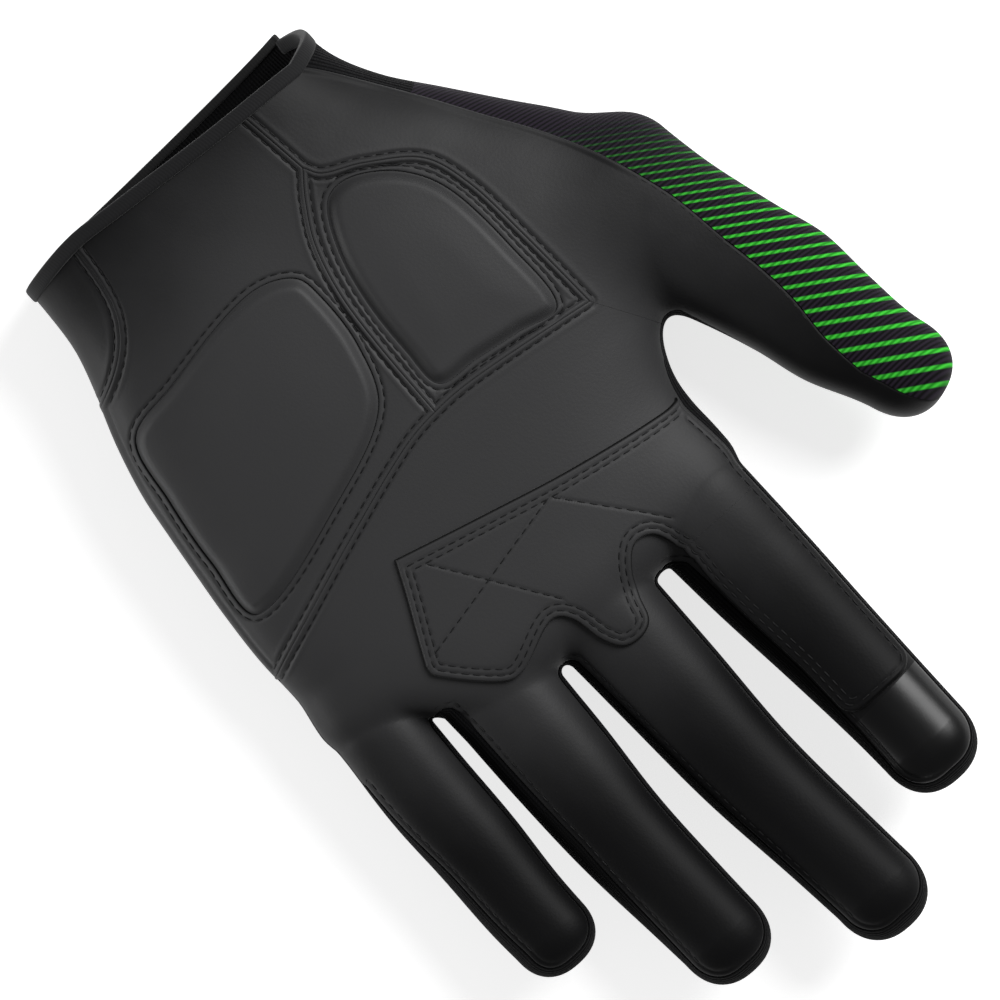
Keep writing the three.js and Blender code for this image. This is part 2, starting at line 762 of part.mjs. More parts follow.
function webRibs() {
  const knuckle = knuckleRib(digits.index, -1);
  const sideways = indexSideShares.map((share) => {
    const y = share * palmLength;
    const x = palmSection(y).left + palmDepth / 2;
    return rib(new THREE.Vector3(x, y, palmMiddleHeight(y)), 180, { frontInset: thumbSideInset });
  });
  const y = webShares[1] * palmLength;
  const middle = new THREE.Vector3(webShares[0] * palmWidth, y, palmMiddleHeight(y));
  const round = fan(middle, webStartShare * palmWidth, webTurns, () => palmSideInset);
  const thumbRib = rib(digitMiddle(thumb, thumb.knuckleShare), thumb.turn, {
    frontInset: palmSideInset,
  });
  return [knuckle, ...sideways, ...round, thumbRib];
}

// The thumb side, from the thumb's joint down to the cuff. Its front seam is well on the palm.
const thumbSideTurns = [200, 206, 212, 216, 217, 215, 212, 208, 200, 180];
const thumbSideBackInset = 7;
const gussetReachShare = 0.2; // how far in from its front seam the last rib starts, of the depth
const gussetRibIndex = 8; // where the knit side ends and the stretch gusset starts
const thumbBaseRibIndex = 5; // where the back of the thumb's base ends

function thumbSideRibs() {
  const away = alongTable(thumbSeamShares, 1, thumb.knuckleShare) * thumb.width;
  const joint = rib(digitMiddle(thumb, thumb.knuckleShare), thumb.turn + 180, {
    frontAt: -away,
    back: thumbSideBackInset,
  });
  const places = seam("thumbSide", thumbSideTurns.length);
  const rest = places.map((place, i) => {
    const turn = thumbSideTurns[i] * degree;
    const share = i / (places.length - 1);
    const frontAt = between(palmSideInset, gussetReachShare * palmDepth, share);
    const x = place.x - frontAt * Math.cos(turn);
    const y = place.y - frontAt * Math.sin(turn);
    const start = new THREE.Vector3(x, y, palmMiddleHeight(place.y));
    const back = between(thumbSideBackInset, backInset, share);
    return rib(start, thumbSideTurns[i], { frontAt, back });
  });
  return [joint, ...rest];
}

// Palm panels

const seamPointCount = 12;
const longSeamPointCount = 20;
const across = (from, to, count) => steps(count).map((t) => from.clone().lerp(to, t));

// The chain along the tops of the finger roots: bending lines and crotches in turn.
function fingerLine(pick, web, crotches, side) {
  const jointPointCount = 4;
  return chain(
    across(pick(web[0]), pick(crotches[0][0]), jointPointCount),
    crotches[0].map(pick),
    across(pick(crotches[0].at(-1)), pick(crotches[1][0]), jointPointCount),
    crotches[1].map(pick),
    across(pick(crotches[1].at(-1)), pick(crotches[2][0]), jointPointCount),
    crotches[2].map(pick),
    across(pick(crotches[2].at(-1)), pick(side[0]), jointPointCount),
  );
}

function mainPanel(web, crotches, side) {
  const top = flat(fingerLine((one) => one.front, web, crotches, side));
  const outerCross = chain(seam("palmCrossOuter", seamPointCount), [side[crossRibIndex].front]);
  const cross = chain(seam("palmCross", seamPointCount), outerCross);
  const bottom = respace(cross, top.length);
  const left = flat(chain([bottom[0]], fronts(web.slice(0, webBottomRibIndex + 1)).reverse()));
  const right = refine(fronts(side.slice(0, crossRibIndex + 1)).reverse(), left.length);
  const grid = blendSides(bottom, top, left, right);
  panel("palm_main_panel", layOn(drawIn(grid), onFront), leatherThickness, palmLeather);
}

const wristPointCount = 4;
const thenarPointCount = 11;

function thumbBasePanel(web, thumbSide) {
  const corner = seam("palmCross", 2)[0];
  const jointPointCount = 5;
  const jointLine = across(thumbSide[0].front, web.at(-1).front, jointPointCount);
  const crotch = fronts(web.slice(webBottomRibIndex)).reverse();
  const top = flat(chain(jointLine, crotch, [corner]));
  const wrist = respace(seam("wrist", seamPointCount), wristPointCount).reverse();
  const thenar = respace(seam("thenarLeft", longSeamPointCount), thenarPointCount).reverse();
  const right = chain(wrist, thenar);
  const left = respace(fronts(thumbSide).reverse(), right.length);
  const bottom = respace([left[0], right[0]], top.length);
  const grid = blendSides(bottom, top, left, right);
  panel("thumb_base_panel", layOn(drawIn(grid), onFront), leatherThickness, palmLeather);
}

// A panel round a pad, from its own seams in to the pad's outline.
function ringPanel(name, sides, padName, rows) {
  const outer = sides.flatMap(([points, count]) => respace(points, count).slice(0, -1));
  const inner = outline(padName, outer.length);
  const grid = drawIn(ladder(outer, inner, rows), { sides: false });
  panel(name, layOn(grid, onFront), leatherThickness, palmLeather, { wrapped: true });
}

// Each pad: how many points go round it, and its middle in shares of the palm.
const pads = {
  heelPad: { round: 35, middleShare: [0.42, -0.5] },
  thenarPad: { round: 26, middleShare: [-0.08, -0.52] },
};
const innermostShare = 0.999;
const coverShares = [0, 0.09, 0.35, 0.65, innermostShare]; // from the outline to the middle
const riseShares = [0, 0.9, 1.1, 1.2, 1.25];
const foamShares = [0, 0.4, innermostShare];

// A pad: its foam, and the leather cover drawn over it and down to its outline.
function pad(name, padName) {
  const { round, middleShare } = pads[padName];
  const middle = new THREE.Vector3(middleShare[0] * palmWidth, middleShare[1] * palmLength, 0);
  const edge = outline(padName, round);
  const inwards = (ring, shares) => shares.map((t) => ring.map((p) => p.clone().lerp(middle, t)));
  const cover = drawIn(inwards(edge, coverShares), { sides: false, by: seamGap });
  panel(`${name}_cover`, layOn(cover, onFront), leatherThickness, palmLeather, {
    lift: (row) => riseShares[row] * padRise,
    wrapped: true,
  });
  const foamEdge = edge.map((p) => {
    const way = middle.clone().sub(p);
    return p.clone().addScaledVector(way, foamInset / way.length());
  });
  panel(`${name}_foam`, layOn(inwards(foamEdge, foamShares), onFront), foamThickness, foam, {
    lift: riseShares[1] * padRise - leatherThickness - layerGap,
    wrapped: true,
  });
}

function heelPanel(side) {
  const cross = chain(seam("palmCrossOuter", seamPointCount), [side[crossRibIndex].front]);
  const wristSide = chain(seam("wristSide", seamPointCount), [side[wristRibIndex].front]);
  const wrist = seam("wrist", seamPointCount);
  ringPanel("palm_heel_panel", [
    [cross, 9],
    [fronts(side.slice(crossRibIndex, wristRibIndex + 1)), 9],
    [[...wristSide].reverse(), 5],
    [[wristSide[0], wrist.at(-1)], 5],
    [[...wrist].reverse(), wristPointCount],
    [seam("column", seamPointCount).reverse(), 9],
  ], "heelPad", 4);
}

function thenarPanel() {
  ringPanel("thenar_panel", [
    [seam("palmCross", seamPointCount), 8],
    [seam("column", seamPointCount), 10],
    [seam("thenarLeft", longSeamPointCount).reverse(), thenarPointCount],
  ], "thenarPad", 2);
}

function wristSidePanel(side) {
  const [rows, points] = [4, 7];
  const wedge = respace(chain(seam("wristSide", seamPointCount), [side[wristRibIndex].front]), points);
  const edge = respace(fronts(side.slice(wristRibIndex)).reverse(), points);
  const grid = drawIn(ladder(wedge, edge, rows));
  panel("wrist_side_panel", layOn(grid, onFront), leatherThickness, palmLeather);
}

// The overlay: one patch over the finger roots that runs up the index finger

const overlayFinish = fingerLeather;
const overlayLift = overlayGap + overlayThickness;
const overlayEndShare = 0.68; // where it ends on the index finger, a share of the finger
const overlayRowCount = 7;
const overlayEndColumnCount = 4;
const overlayTopPointCount = 26;

function shifted(points, distance) {
  return points.map((p) => new THREE.Vector3(p.x + distance, p.y, 0));
}

function overlay(web) {
  const left = shifted(fronts(web.slice(0, indexSideShares.length + 1)), overlayInset).reverse();
  const topLeft = left.at(-1);
  const topRight = shifted([knuckleRib(digits.index, 1).front], -overlayInset)[0];
  const rootLine = across(topLeft, topRight, overlayEndColumnCount);
  const top = flat(chain(rootLine, seam("overlayTop", overlayTopPointCount)));
  const bottom = chain([left[0]], seam("overlayBottom", seamPointCount));
  const grid = blendSides(
    respace(bottom, top.length),
    top,
    respace(left, overlayRowCount),
    respace([bottom.at(-1), top.at(-1)], overlayRowCount),
  );
  panel("finger_root_overlay", layOn(drawIn(grid), onFront), overlayThickness, overlayFinish, {
    lift: overlayLift,
  });
}

// One length of the overlay along the index finger.
function overlayStrip(name, from, to) {
  const edge = (side) => {
    const ribs = sideRibs(digits.index, side, from, to, lowerRibCount);
    return shifted(fronts(ribs), -side * overlayInset);
  };
  const grid = drawIn(rungs(edge(-1), edge(1), stripColumnCount));
  panel(name, layOn(grid, onFront), overlayThickness, overlayFinish, { lift: overlayLift });
}

// Back panels

const cuffBackShare = -1.105;

function backPanel(web, crotches, side, thumbSide) {
  const top = flat(fingerLine((one) => one.back, web, crotches, side));
  const low = (one) => new THREE.Vector3(one.back.x, cuffBackShare * palmLength, 0);
  const thumbEdge = backs(thumbSide.slice(thumbBaseRibIndex)).reverse();
  const webEdge = backs(web.slice(0, webBottomRibIndex + 1)).reverse();
  const thumbwards = chain([low(thumbSide.at(-1))], thumbEdge, webEdge);
  const outer = chain([low(side.at(-1))], backs(side).reverse());
  const rows = Math.max(thumbwards.length, outer.length);
  const [left, right] = [refine(thumbwards, rows), refine(outer, rows)];
  const bottom = respace([left[0], right[0]], top.length);
  const grid = drawIn(blendSides(bottom, top, left, right));
  panel("back_panel", layOn(grid, onBack), knitThickness, blackKnit);
}

function thumbBaseBack(web, thumbSide) {
  const points = 8;
  const edges = [
    [thumbSide[thumbBaseRibIndex].back, web[webBottomRibIndex].back],
    [thumbSide[0].back, web.at(-1).back],
    backs(thumbSide.slice(0, thumbBaseRibIndex + 1)).reverse(),
    backs(web.slice(webBottomRibIndex)),
  ];
  const grid = drawIn(blendSides(...edges.map((edge) => respace(edge, points))));
  panel("thumb_base_back", layOn(grid, onBack), knitThickness, stripedKnit);
}

// The cuff's tapes: a flat bar that follows the edge of the panels

function tape(name, edge, thickness) {
  const over = (bindingThickness - thickness) / 2;
  const rings = edge.map((p) => {
    const out = outwards(p).setY(0).normalize();
    const lie = (below, outside) =>
      new THREE.Vector3(p.x, p.y - below, p.z).addScaledVector(out, outside);
    return [
      lie(layerGap, over),
      lie(bindingWidth, over),
      lie(bindingWidth, over - bindingThickness),
      lie(layerGap, over - bindingThickness),
    ];
  });
  const triangles = [];
  const quad = (a, b, c, d) => triangles.push([a, b, c], [a, c, d]);
  for (let i = 0; i < rings.length - 1; i += 1) {
    rings[i].forEach((corner, k) => {
      const next = (k + 1) % rings[i].length;
      quad(corner, rings[i][next], rings[i + 1][next], rings[i + 1][k]);
    });
  }
  quad(...[...rings[0]].reverse());
  quad(...rings.at(-1));
  keep(name, triangles, greyTape);
}

function cuffTapes(side, thumbSide) {
  const [frontPoints, backPoints] = [14, 8];
  const [thumbEnd, sideEnd] = [thumbSide.at(-1), side.at(-1)];
  const round = (one) => one.points.slice(1, bandStepCount);
  const frontSeams = ["thumbSide", "wrist"].map((name) => seam(name, 2)[1]);
  const line = [...frontSeams, seam("wristSide", 2)[0], sideEnd.front];
  const front = respace(line, frontPoints).map((p) => onFront(p.x, p.y));
  const palmEdge = [...round(thumbEnd).reverse(), ...front, ...round(sideEnd)];
  tape("cuff_tape_palm", palmEdge, leatherThickness);
  const backEdge = respace([thumbEnd.back, sideEnd.back], backPoints);
  const rear = backEdge.map((p) => onBack(p.x, cuffBackShare * palmLength));
  tape("cuff_tape_back", rear, knitThickness);
}

// The whole glove

for (const name of ["index", "middle", "ring", "little"]) {
  lowerFinger(name, digits[name]);
  upperFinger(name, digits[name], name === "index");
}
const thumbTipMiddle = 1 - thumb.tipShare;
const thumbShares = (from, to) => steps(thumbRowCount).map((t) => between(from, to, t));
thumbPart("lower", thumbShares(thumb.knuckleShare, thumb.middleShare), []);
thumbPart("upper", thumbShares(thumb.middleShare, thumbTipMiddle), thumbTilts);

const littleSide = littleSideRibs();
const web = webRibs();
const thumbSide = thumbSideRibs();
const crotches = [
  crotchRibs("index_middle", digits.index, digits.middle),
  crotchRibs("middle_ring", digits.middle, digits.ring),
  crotchRibs("ring_little", digits.ring, digits.little),
];
band("little_side_panel", littleSide, knitThickness, ribbedKnit);
band("thumb_web", web, knitThickness, ribbedKnit);
band("thumb_side_panel", thumbSide.slice(0, gussetRibIndex + 1), knitThickness, stripedKnit);
band("wrist_gusset", thumbSide.slice(gussetRibIndex), knitThickness, ribbedKnit);
band("crotch_index_middle", crotches[0], knitThickness, ribbedKnit);
band("crotch_middle_ring", crotches[1], knitThickness, ribbedKnit);
band("crotch_ring_little", crotches[2], knitThickness, ribbedKnit);
mainPanel(web, crotches, littleSide);
thumbBasePanel(web, thumbSide);
heelPanel(littleSide);
thenarPanel();
pad("heel_pad", "heelPad");
pad("thenar_pad", "thenarPad");
wristSidePanel(littleSide);
overlay(web);
overlayStrip("index_overlay_lower", digits.index.knuckleShare, digits.index.middleShare);
overlayStrip("index_overlay_upper", digits.index.middleShare, overlayEndShare);
backPanel(web, crotches, littleSide, thumbSide);
thumbBaseBack(web, thumbSide);
cuffTapes(littleSide, thumbSide);

const hand = new THREE.Group();
hand.add(...meshes);
export default hand;
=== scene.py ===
"""A left-hand motocross glove, lying on its back with the palm up.

The frame is in metres with +Y along the fingers, +X to the little finger and +Z out of the palm.
Sizes here are millimetres in that frame until a mesh is made.
"""

import math

import bpy
import numpy as np
from mathutils import Matrix, Vector


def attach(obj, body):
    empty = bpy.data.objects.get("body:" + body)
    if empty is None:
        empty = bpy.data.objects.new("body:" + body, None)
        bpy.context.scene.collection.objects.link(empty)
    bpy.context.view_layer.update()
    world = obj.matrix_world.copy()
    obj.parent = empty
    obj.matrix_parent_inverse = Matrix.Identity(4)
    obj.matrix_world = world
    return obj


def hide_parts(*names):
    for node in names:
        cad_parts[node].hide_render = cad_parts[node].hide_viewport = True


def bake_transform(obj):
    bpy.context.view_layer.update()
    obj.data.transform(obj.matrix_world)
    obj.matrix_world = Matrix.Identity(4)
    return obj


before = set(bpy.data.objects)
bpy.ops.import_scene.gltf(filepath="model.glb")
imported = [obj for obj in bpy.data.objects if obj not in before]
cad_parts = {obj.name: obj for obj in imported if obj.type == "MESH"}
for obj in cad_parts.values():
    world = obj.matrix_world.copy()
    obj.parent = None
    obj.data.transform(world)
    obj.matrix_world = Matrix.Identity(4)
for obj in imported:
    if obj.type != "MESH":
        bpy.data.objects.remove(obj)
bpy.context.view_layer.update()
scene = bpy.context.scene
MM = 0.001


# The hand surface
# Every panel lies on one form: the palm, four fingers and the thumb, melted into each other
# and cut flat where the glove rests on its back.

PALM = 100.0  # width between its side seams, and length from the wrist crease to the fingers
PALM_DEPTH = 34.0
# Place along the hand, thumb-side edge, little-finger edge, back, front; the first three are
# shares of PALM, the last two of PALM_DEPTH.
PALM_SECTIONS = [
    (-1.2, -0.2, 0.58, 0.035, 1.22),
    (-1.12, -0.208, 0.58, 0.03, 1.2),
    (-1.02, -0.225, 0.582, 0.015, 1.15),
    (-0.92, -0.275, 0.592, -0.01, 1.1),
    (-0.82, -0.35, 0.622, -0.02, 1.08),
    (-0.71, -0.433, 0.661, -0.03, 1.06),
    (-0.6, -0.517, 0.69, -0.03, 1.05),
    (-0.5, -0.575, 0.705, -0.03, 1.04),
    (-0.4, -0.56, 0.718, -0.03, 1.02),
    (-0.3, -0.48, 0.73, -0.03, 1.0),
    (-0.18, -0.385, 0.739, -0.03, 0.96),
    (-0.05, -0.312, 0.738, -0.02, 0.92),
    (0.1, -0.3, 0.744, 0.0, 0.88),
    (0.24, -0.295, 0.75, 0.03, 0.84),
]
# A digit's rows: place along it, its middle sideways, width, height, depth. Places are shares of
# its length, sideways ones of PALM, heights of PALM_DEPTH, the rest of its own sizes. "melt" is
# how widely it flows into its neighbours, and between which shares of PALM that narrows.
DIGITS = {
    "index": dict(
        root=(0, 20), turn=0, length=78.4, width=26, depth=21, tip=0.14, melt=(10, 2.4, 0.02, 0.21),
        rows=[(0, -0.159, 1.01, 0.47, 1.1), (0.25, -0.167, 0.965, 0.46, 1.03),
              (0.5, -0.176, 0.885, 0.48, 0.98), (0.75, -0.184, 0.82, 0.54, 0.93),
              (1, -0.188, 0.79, 0.66, 0.86)]),
    "middle": dict(
        root=(0, 20), turn=0, length=94.4, width=25, depth=21, tip=0.115, melt=(10, 2.4, 0.02, 0.21),
        rows=[(0, 0.135, 1.02, 0.48, 1.12), (0.25, 0.132, 0.965, 0.47, 1.05),
              (0.5, 0.129, 0.89, 0.49, 1.0), (0.75, 0.109, 0.83, 0.56, 0.94),
              (1, 0.088, 0.8, 0.7, 0.87)]),
    "ring": dict(
        root=(0, 20), turn=0, length=79.6, width=25, depth=21, tip=0.13, melt=(10, 2.4, 0.02, 0.21),
        rows=[(0, 0.408, 0.98, 0.47, 1.08), (0.25, 0.413, 0.955, 0.46, 1.02),
              (0.5, 0.418, 0.88, 0.48, 0.97), (0.75, 0.409, 0.812, 0.55, 0.92),
              (1, 0.397, 0.76, 0.67, 0.84)]),
    "little": dict(
        root=(0, 10), turn=0, length=64.2, width=20.5, depth=21, tip=0.14,
        melt=(10, 2.4, -0.04, 0.12),
        rows=[(0, 0.651, 0.96, 0.45, 0.98), (0.25, 0.661, 0.99, 0.44, 0.93),
              (0.5, 0.663, 0.965, 0.45, 0.88), (0.75, 0.669, 0.915, 0.49, 0.83),
              (1, 0.663, 0.86, 0.56, 0.76)]),
    "thumb": dict(
        root=(-46, -40), turn=18, length=80, width=29, depth=26, tip=0.15, melt=(8, 8, 0, 1),
        rows=[(0, -0.013, 1.2, 0.5, 1.1), (0.17, -0.01, 1.1, 0.5, 1.06),
              (0.37, -0.016, 1.01, 0.52, 1.0), (0.52, -0.018, 0.98, 0.55, 0.94),
              (0.67, -0.002, 0.89, 0.57, 0.88), (0.82, 0.002, 0.74, 0.6, 0.82),
              (1, 0.0, 0.68, 0.62, 0.76)]),
}
# The palm's form ends at this share of PALM, lower by the second share beside the little finger,
# and closes over this many millimetres.
PALM_END, END_DROP, END_REACH = 0.125, 0.11, 13
PALM_POWER, DIGIT_POWER = 2.7, 2.35  # how square their sections are


def along_table(table, column, place):
    """A smooth curve through one column of a table whose first column is the place."""
    rows = np.asarray(table, float)
    x, y = rows[:, 0], rows[:, column]
    k = np.arange(len(x))
    before, after = np.maximum(k - 1, 0), np.minimum(k + 1, len(x) - 1)
    slope = (y[after] - y[before]) / (x[after] - x[before])
    at = np.clip(place, x[0], x[-1])
    i = np.searchsorted(x[1:-1], at)
    span = x[i + 1] - x[i]
    t = (at - x[i]) / span
    bend = t * t * (3 - 2 * t)
    ends = t * (1 - t) ** 2 * span * slope[i] + t * t * (t - 1) * span * slope[i + 1]
    return y[i] * (1 - bend) + y[i + 1] * bend + ends


def ease(low, high, value):
    t = np.clip((value - low) / (high - low), 0, 1)
    return t * t * (3 - 2 * t)


def rounded_forms(x, y):
    """For places in plan, each rounded form as (middle height, half depth, power, the sideways
    part of its sum, the square of its sideways reach, how widely it melts)."""
    place = y / PALM
    left, right, back, front = (along_table(PALM_SECTIONS, c, place) for c in (1, 2, 3, 4))
    side = x - (left + right) / 2 * PALM
    past = np.maximum(y - (PALM_END - END_DROP * ease(0.42, 0.6, x / PALM)) * PALM, 0)
    power = PALM_POWER
    total = np.abs(side / ((right - left) / 2 * PALM)) ** power + np.abs(past / END_REACH) ** power
    forms = [((back + front) / 2 * PALM_DEPTH, (front - back) / 2 * PALM_DEPTH, power, total,
              side**2 + past**2, 0)]
    for d in DIGITS.values():
        c, s = math.cos(math.radians(d["turn"])), math.sin(math.radians(d["turn"]))
        dx, dy = x - d["root"][0], y - d["root"][1]
        along = dy * c - dx * s
        cap = d["tip"] * d["length"]
        share = np.minimum(along, d["length"] - cap) / d["length"]
        side = dx * c + dy * s - along_table(d["rows"], 1, share) * PALM
        past = np.maximum(np.maximum(along - d["length"] + cap, -along), 0)
        power = DIGIT_POWER
        half = along_table(d["rows"], 2, share) * d["width"] / 2
        total = np.abs(side / half) ** power + np.abs(past / cap) ** power
        wide, narrow, low, high = d["melt"]
        forms.append((along_table(d["rows"], 3, share) * PALM_DEPTH,
                      along_table(d["rows"], 4, share) * d["depth"] / 2, power, total,
                      side**2 + past**2, wide + (narrow - wide) * ease(low, high, place)))
    return forms


def form_distance(forms, z):
    """How far outside the hand surface heights z are: along the line from each form's middle,
    joined with fillets."""
    result = None
    for middle, half, power, total, reach, melt in forms:
        up = z - middle
        away = np.sqrt(reach + up * up)
        full = np.maximum((total + np.abs(up / half) ** power) ** (1 / power), 1e-9)
        distance = away - away / full
        if result is None:
            result = distance
        else:
            near = np.maximum(melt - np.abs(result - distance), 0)
            result = np.minimum(result, distance) - near * near / (4 * melt)
    return np.maximum(result, -z)


def hand_distance(p):
    return form_distance(rounded_forms(p[..., 0], p[..., 1]), p[..., 2])


def outwards(p):
    """The unit direction straight out of the hand surface at p."""
    probe = 0.17
    g = np.empty(p.shape)
    for axis in range(3):
        step = np.zeros(3)
        step[axis] = probe
        g[..., axis] = hand_distance(p + step) - hand_distance(p - step)
    return g / np.maximum(np.linalg.norm(g, axis=-1, keepdims=True), 1e-12)


def on_front(xy):
    """The points of the palm side above places in plan: the first crossing from above."""
    xy = np.asarray(xy, float)
    forms = rounded_forms(xy[..., 0], xy[..., 1])
    high = np.full(xy.shape[:-1], 46.0)
    found = np.zeros(xy.shape[:-1], bool)
    for level in np.arange(44.0, -2.1, -2.0):
        inside = form_distance(forms, np.full(high.shape, level)) <= 0
        high = np.where(found | inside, high, level)
        found |= inside
    low = high - 2
    for _ in range(15):
        middle = (low + high) / 2
        out = form_distance(forms, middle) > 0
        high, low = np.where(out, middle, high), np.where(out, low, middle)
    return np.dstack([xy[..., 0], xy[..., 1], low]) if xy.ndim == 3 else np.column_stack([xy, low])


def on_back(xy):
    """The same for the back: the first crossing from below, or the flat where it rests."""
    xy = np.asarray(xy, float)
    forms = rounded_forms(xy[..., 0], xy[..., 1])
    low = np.full(xy.shape[:-1], -1.0)
    found = np.zeros(xy.shape[:-1], bool)
    for level in np.arange(0.0, 30.1, 1.5):
        inside = form_distance(forms, np.full(low.shape, level + 1e-4)) <= 0
        low = np.where(found | inside, low, level)
        found |= inside
    high = low + 1.5
    for _ in range(15):
        middle = (low + high) / 2
        out = form_distance(forms, middle) > 0
        low, high = np.where(out, middle, low), np.where(out, high, middle)
    z = np.maximum(high, 0)
    return np.dstack([xy[..., 0], xy[..., 1], z]) if xy.ndim == 3 else np.column_stack([xy, z])


def cast(start, way):
    """Where rays from inside the hand leave it."""
    start, way = np.broadcast_arrays(np.asarray(start, float), np.asarray(way, float))
    low = np.zeros(start.shape[:-1])
    done = np.zeros(low.shape, bool)
    for reach in np.arange(1.0, 40.0, 1.0):
        out = hand_distance(start + way * reach) > 0
        low = np.where(done | out, low, reach)
        done |= out
    high = low + 1
    for _ in range(12):
        middle = (low + high) / 2
        out = hand_distance(start + way * middle[..., None]) > 0
        high, low = np.where(out, middle, high), np.where(out, low, middle)
    return start + way * low[..., None]


def digit_middle(name, share):
    """Points on a digit's middle line at shares of its length."""
    d = DIGITS[name]
    c, s = math.cos(math.radians(d["turn"])), math.sin(math.radians(d["turn"]))
    share = np.asarray(share, float)
    side, along = along_table(d["rows"], 1, share) * PALM, share * d["length"]
    return np.stack([d["root"][0] + side * c - along * s, d["root"][1] + side * s + along * c,
                     along_table(d["rows"], 3, share) * PALM_DEPTH], -1)


# Finger sides
# Strips of knit run up one side of each finger, round its tip and down the other, and join in
# the crotches. They are cut from ribbed knit, with plain knit over the tips, and sewn to the
# leather in front and to the back.

# How far the leather's edge lies inside the outline on a finger's little-finger side: place
# along the finger, millimetres.
EDGES = {"index": [(0.05, 3.4), (0.5, 3.0), (0.86, 1.2)], "middle": [(0.1, 1.6), (0.5, 1.7), (0.88, 1.2)],
         "ring": [(0.1, 3.2), (0.45, 3.4), (0.87, 1.2)], "little": [(0.1, 0.5), (0.5, 2.0), (0.86, 2.6)]}
THUMB_EDGE = 0.7  # the same on the side towards the thumb
TIP_EDGE = {"index": 3.0, "middle": 3.6, "ring": 2.8, "little": 2.2}
BACK_EDGE = 4.0
CROTCHES = {"index_middle": (-1.6, 28.0), "middle_ring": (27.3, 27.5), "ring_little": (54.5, 17.5)}
CROTCH_REACH = 10.0
CROTCH_EDGE = 0.6  # the same in the middle of a crotch
CROTCH_RIBS = 85
KNIT = 0.9  # thickness
# Each finger's knuckle, middle joint and the cut between its two lengths, and how far the cloth
# bends to either side of each joint.
JOINTS = {"index": (30.98, 58.02, 44.5), "middle": (33.69, 70.03, 50.5),
          "ring": (31.14, 59.8, 44.8), "little": (27.33, 44.03, 36.3)}
REACHES = {"index": (5, 9), "middle": (7.6, 10), "ring": (5.6, 9), "little": (7.8, 6.5)}
# What each bending length follows: one body, the next one, and where it passes from one to the
# other.
BENDS = {}
for name, (knuckle, joint, _) in JOINTS.items():
    for key, y, reach, a, b in (("root", knuckle, REACHES[name][0], "hand", name + "_lower"),
                                ("tip", joint, REACHES[name][1], name + "_lower", name + "_upper")):
        BENDS[f"{name}_{key}"] = (a, b, (0, (y - reach) * MM, 0), (0, (y + reach) * MM, 0))


def rib_cuts(start, angle, front, back, steps=14, lean=0):
    """The knit is cut across by ribs, each from the front seam round the side to the back seam.
    A rib's points lie where rays from its start, at even angles between its two seams, leave the
    hand. front and back are the seams' distances from the outline, in plan; a negative front is
    the seam's own distance from the start. lean is how far a rib's back end lies towards the cuff."""
    lean = np.broadcast_to(np.asarray(lean, float), np.shape(angle))
    side = np.stack([np.cos(np.radians(angle)), np.sin(np.radians(angle)), np.zeros(len(angle))], -1)
    low_start = start - np.array([0, 1, 0]) * lean[:, None]
    edge = np.linalg.norm(cast(start, side) - start, axis=-1)
    a = np.where(np.asarray(front) < 0, -np.asarray(front), edge - front)
    b = np.linalg.norm(cast(low_start, side) - low_start, axis=-1) - back
    first = on_front((start + side * a[:, None])[:, :2])
    last = on_back((low_start + side * b[:, None])[:, :2])
    high = np.arctan2(first[:, 2] - start[:, 2], a)
    low = np.arctan2(last[:, 2] - start[:, 2], b)
    t = np.linspace(0, 1, steps)
    theta = high[:, None] + (low - high)[:, None] * t
    way = side[:, None] * np.cos(theta)[..., None] + np.array([0, 0, 1]) * np.sin(theta)[..., None]
    begin = start[:, None] + (low_start - start)[:, None] * t[:, None]
    points = cast(begin, way)
    points[:, 0], points[:, -1] = first, last
    return points


def fan(middle, reach, turns, height):
    """Ribs round the inside of a crotch: they start inside the hand, a reach behind its middle,
    and face it."""
    way = np.stack([np.cos(np.radians(turns)), np.sin(np.radians(turns))], -1)
    return np.column_stack([np.array(middle) - way * reach, np.full(len(turns), height)])


def finger_ribs(name, low_left, low_right):
    """A finger's ribs from the crotch on its thumb side up, round the tip and down to the crotch
    on its little-finger side: starts, facings, front and back edges."""
    d = DIGITS[name]
    top = 1 - d["tip"]
    left = np.arange(low_left, top, 0.8 / d["length"])
    right = np.arange(low_right, top, 0.8 / d["length"])[::-1]
    turns = np.linspace(180, 0, 40)[1:-1]
    share = np.concatenate([left, np.full(len(turns), top), right])
    angle = np.concatenate([np.full(len(left), 180.0), turns, np.zeros(len(right))])
    outer = np.interp(share, *np.transpose(EDGES[name]))
    over = np.sin(np.radians(angle)) ** 2
    side = ease(180, 0, angle)
    front = (THUMB_EDGE * (1 - side) + outer * side) * (1 - over) + TIP_EDGE[name] * over
    return digit_middle(name, share), angle, front, np.full(len(angle), BACK_EDGE)


def crotch_ribs(name, left_digit, left_share):
    """The ribs round a crotch, from the finger on its thumb side to the next one."""
    turns = np.linspace(0, 180, CROTCH_RIBS)
    start = fan(CROTCHES[name], CROTCH_REACH, turns, float(digit_middle(left_digit, 0.0)[2]))
    a = np.interp(left_share, *np.transpose(EDGES[left_digit]))
    front = a + (CROTCH_EDGE - a) * ease(0, 90, turns) + (THUMB_EDGE - CROTCH_EDGE) * ease(90, 180, turns)
    return start, turns, front, np.full(len(turns), BACK_EDGE)


def rows_of(ribs, first, last):
    return tuple(values[first:last] for values in ribs)


def ribs_together(*ribs):
    return tuple(np.concatenate(parts) for parts in zip(*ribs))


def grid_normals(g, wrapped=False):
    """Unit normals of a grid of points, from its neighbours on either side."""
    across = np.roll(g, -1, 1) - np.roll(g, 1, 1) if wrapped else np.gradient(g, axis=1)
    n = np.cross(across, np.gradient(g, axis=0))
    return n / np.maximum(np.linalg.norm(n, axis=-1, keepdims=True), 1e-12)


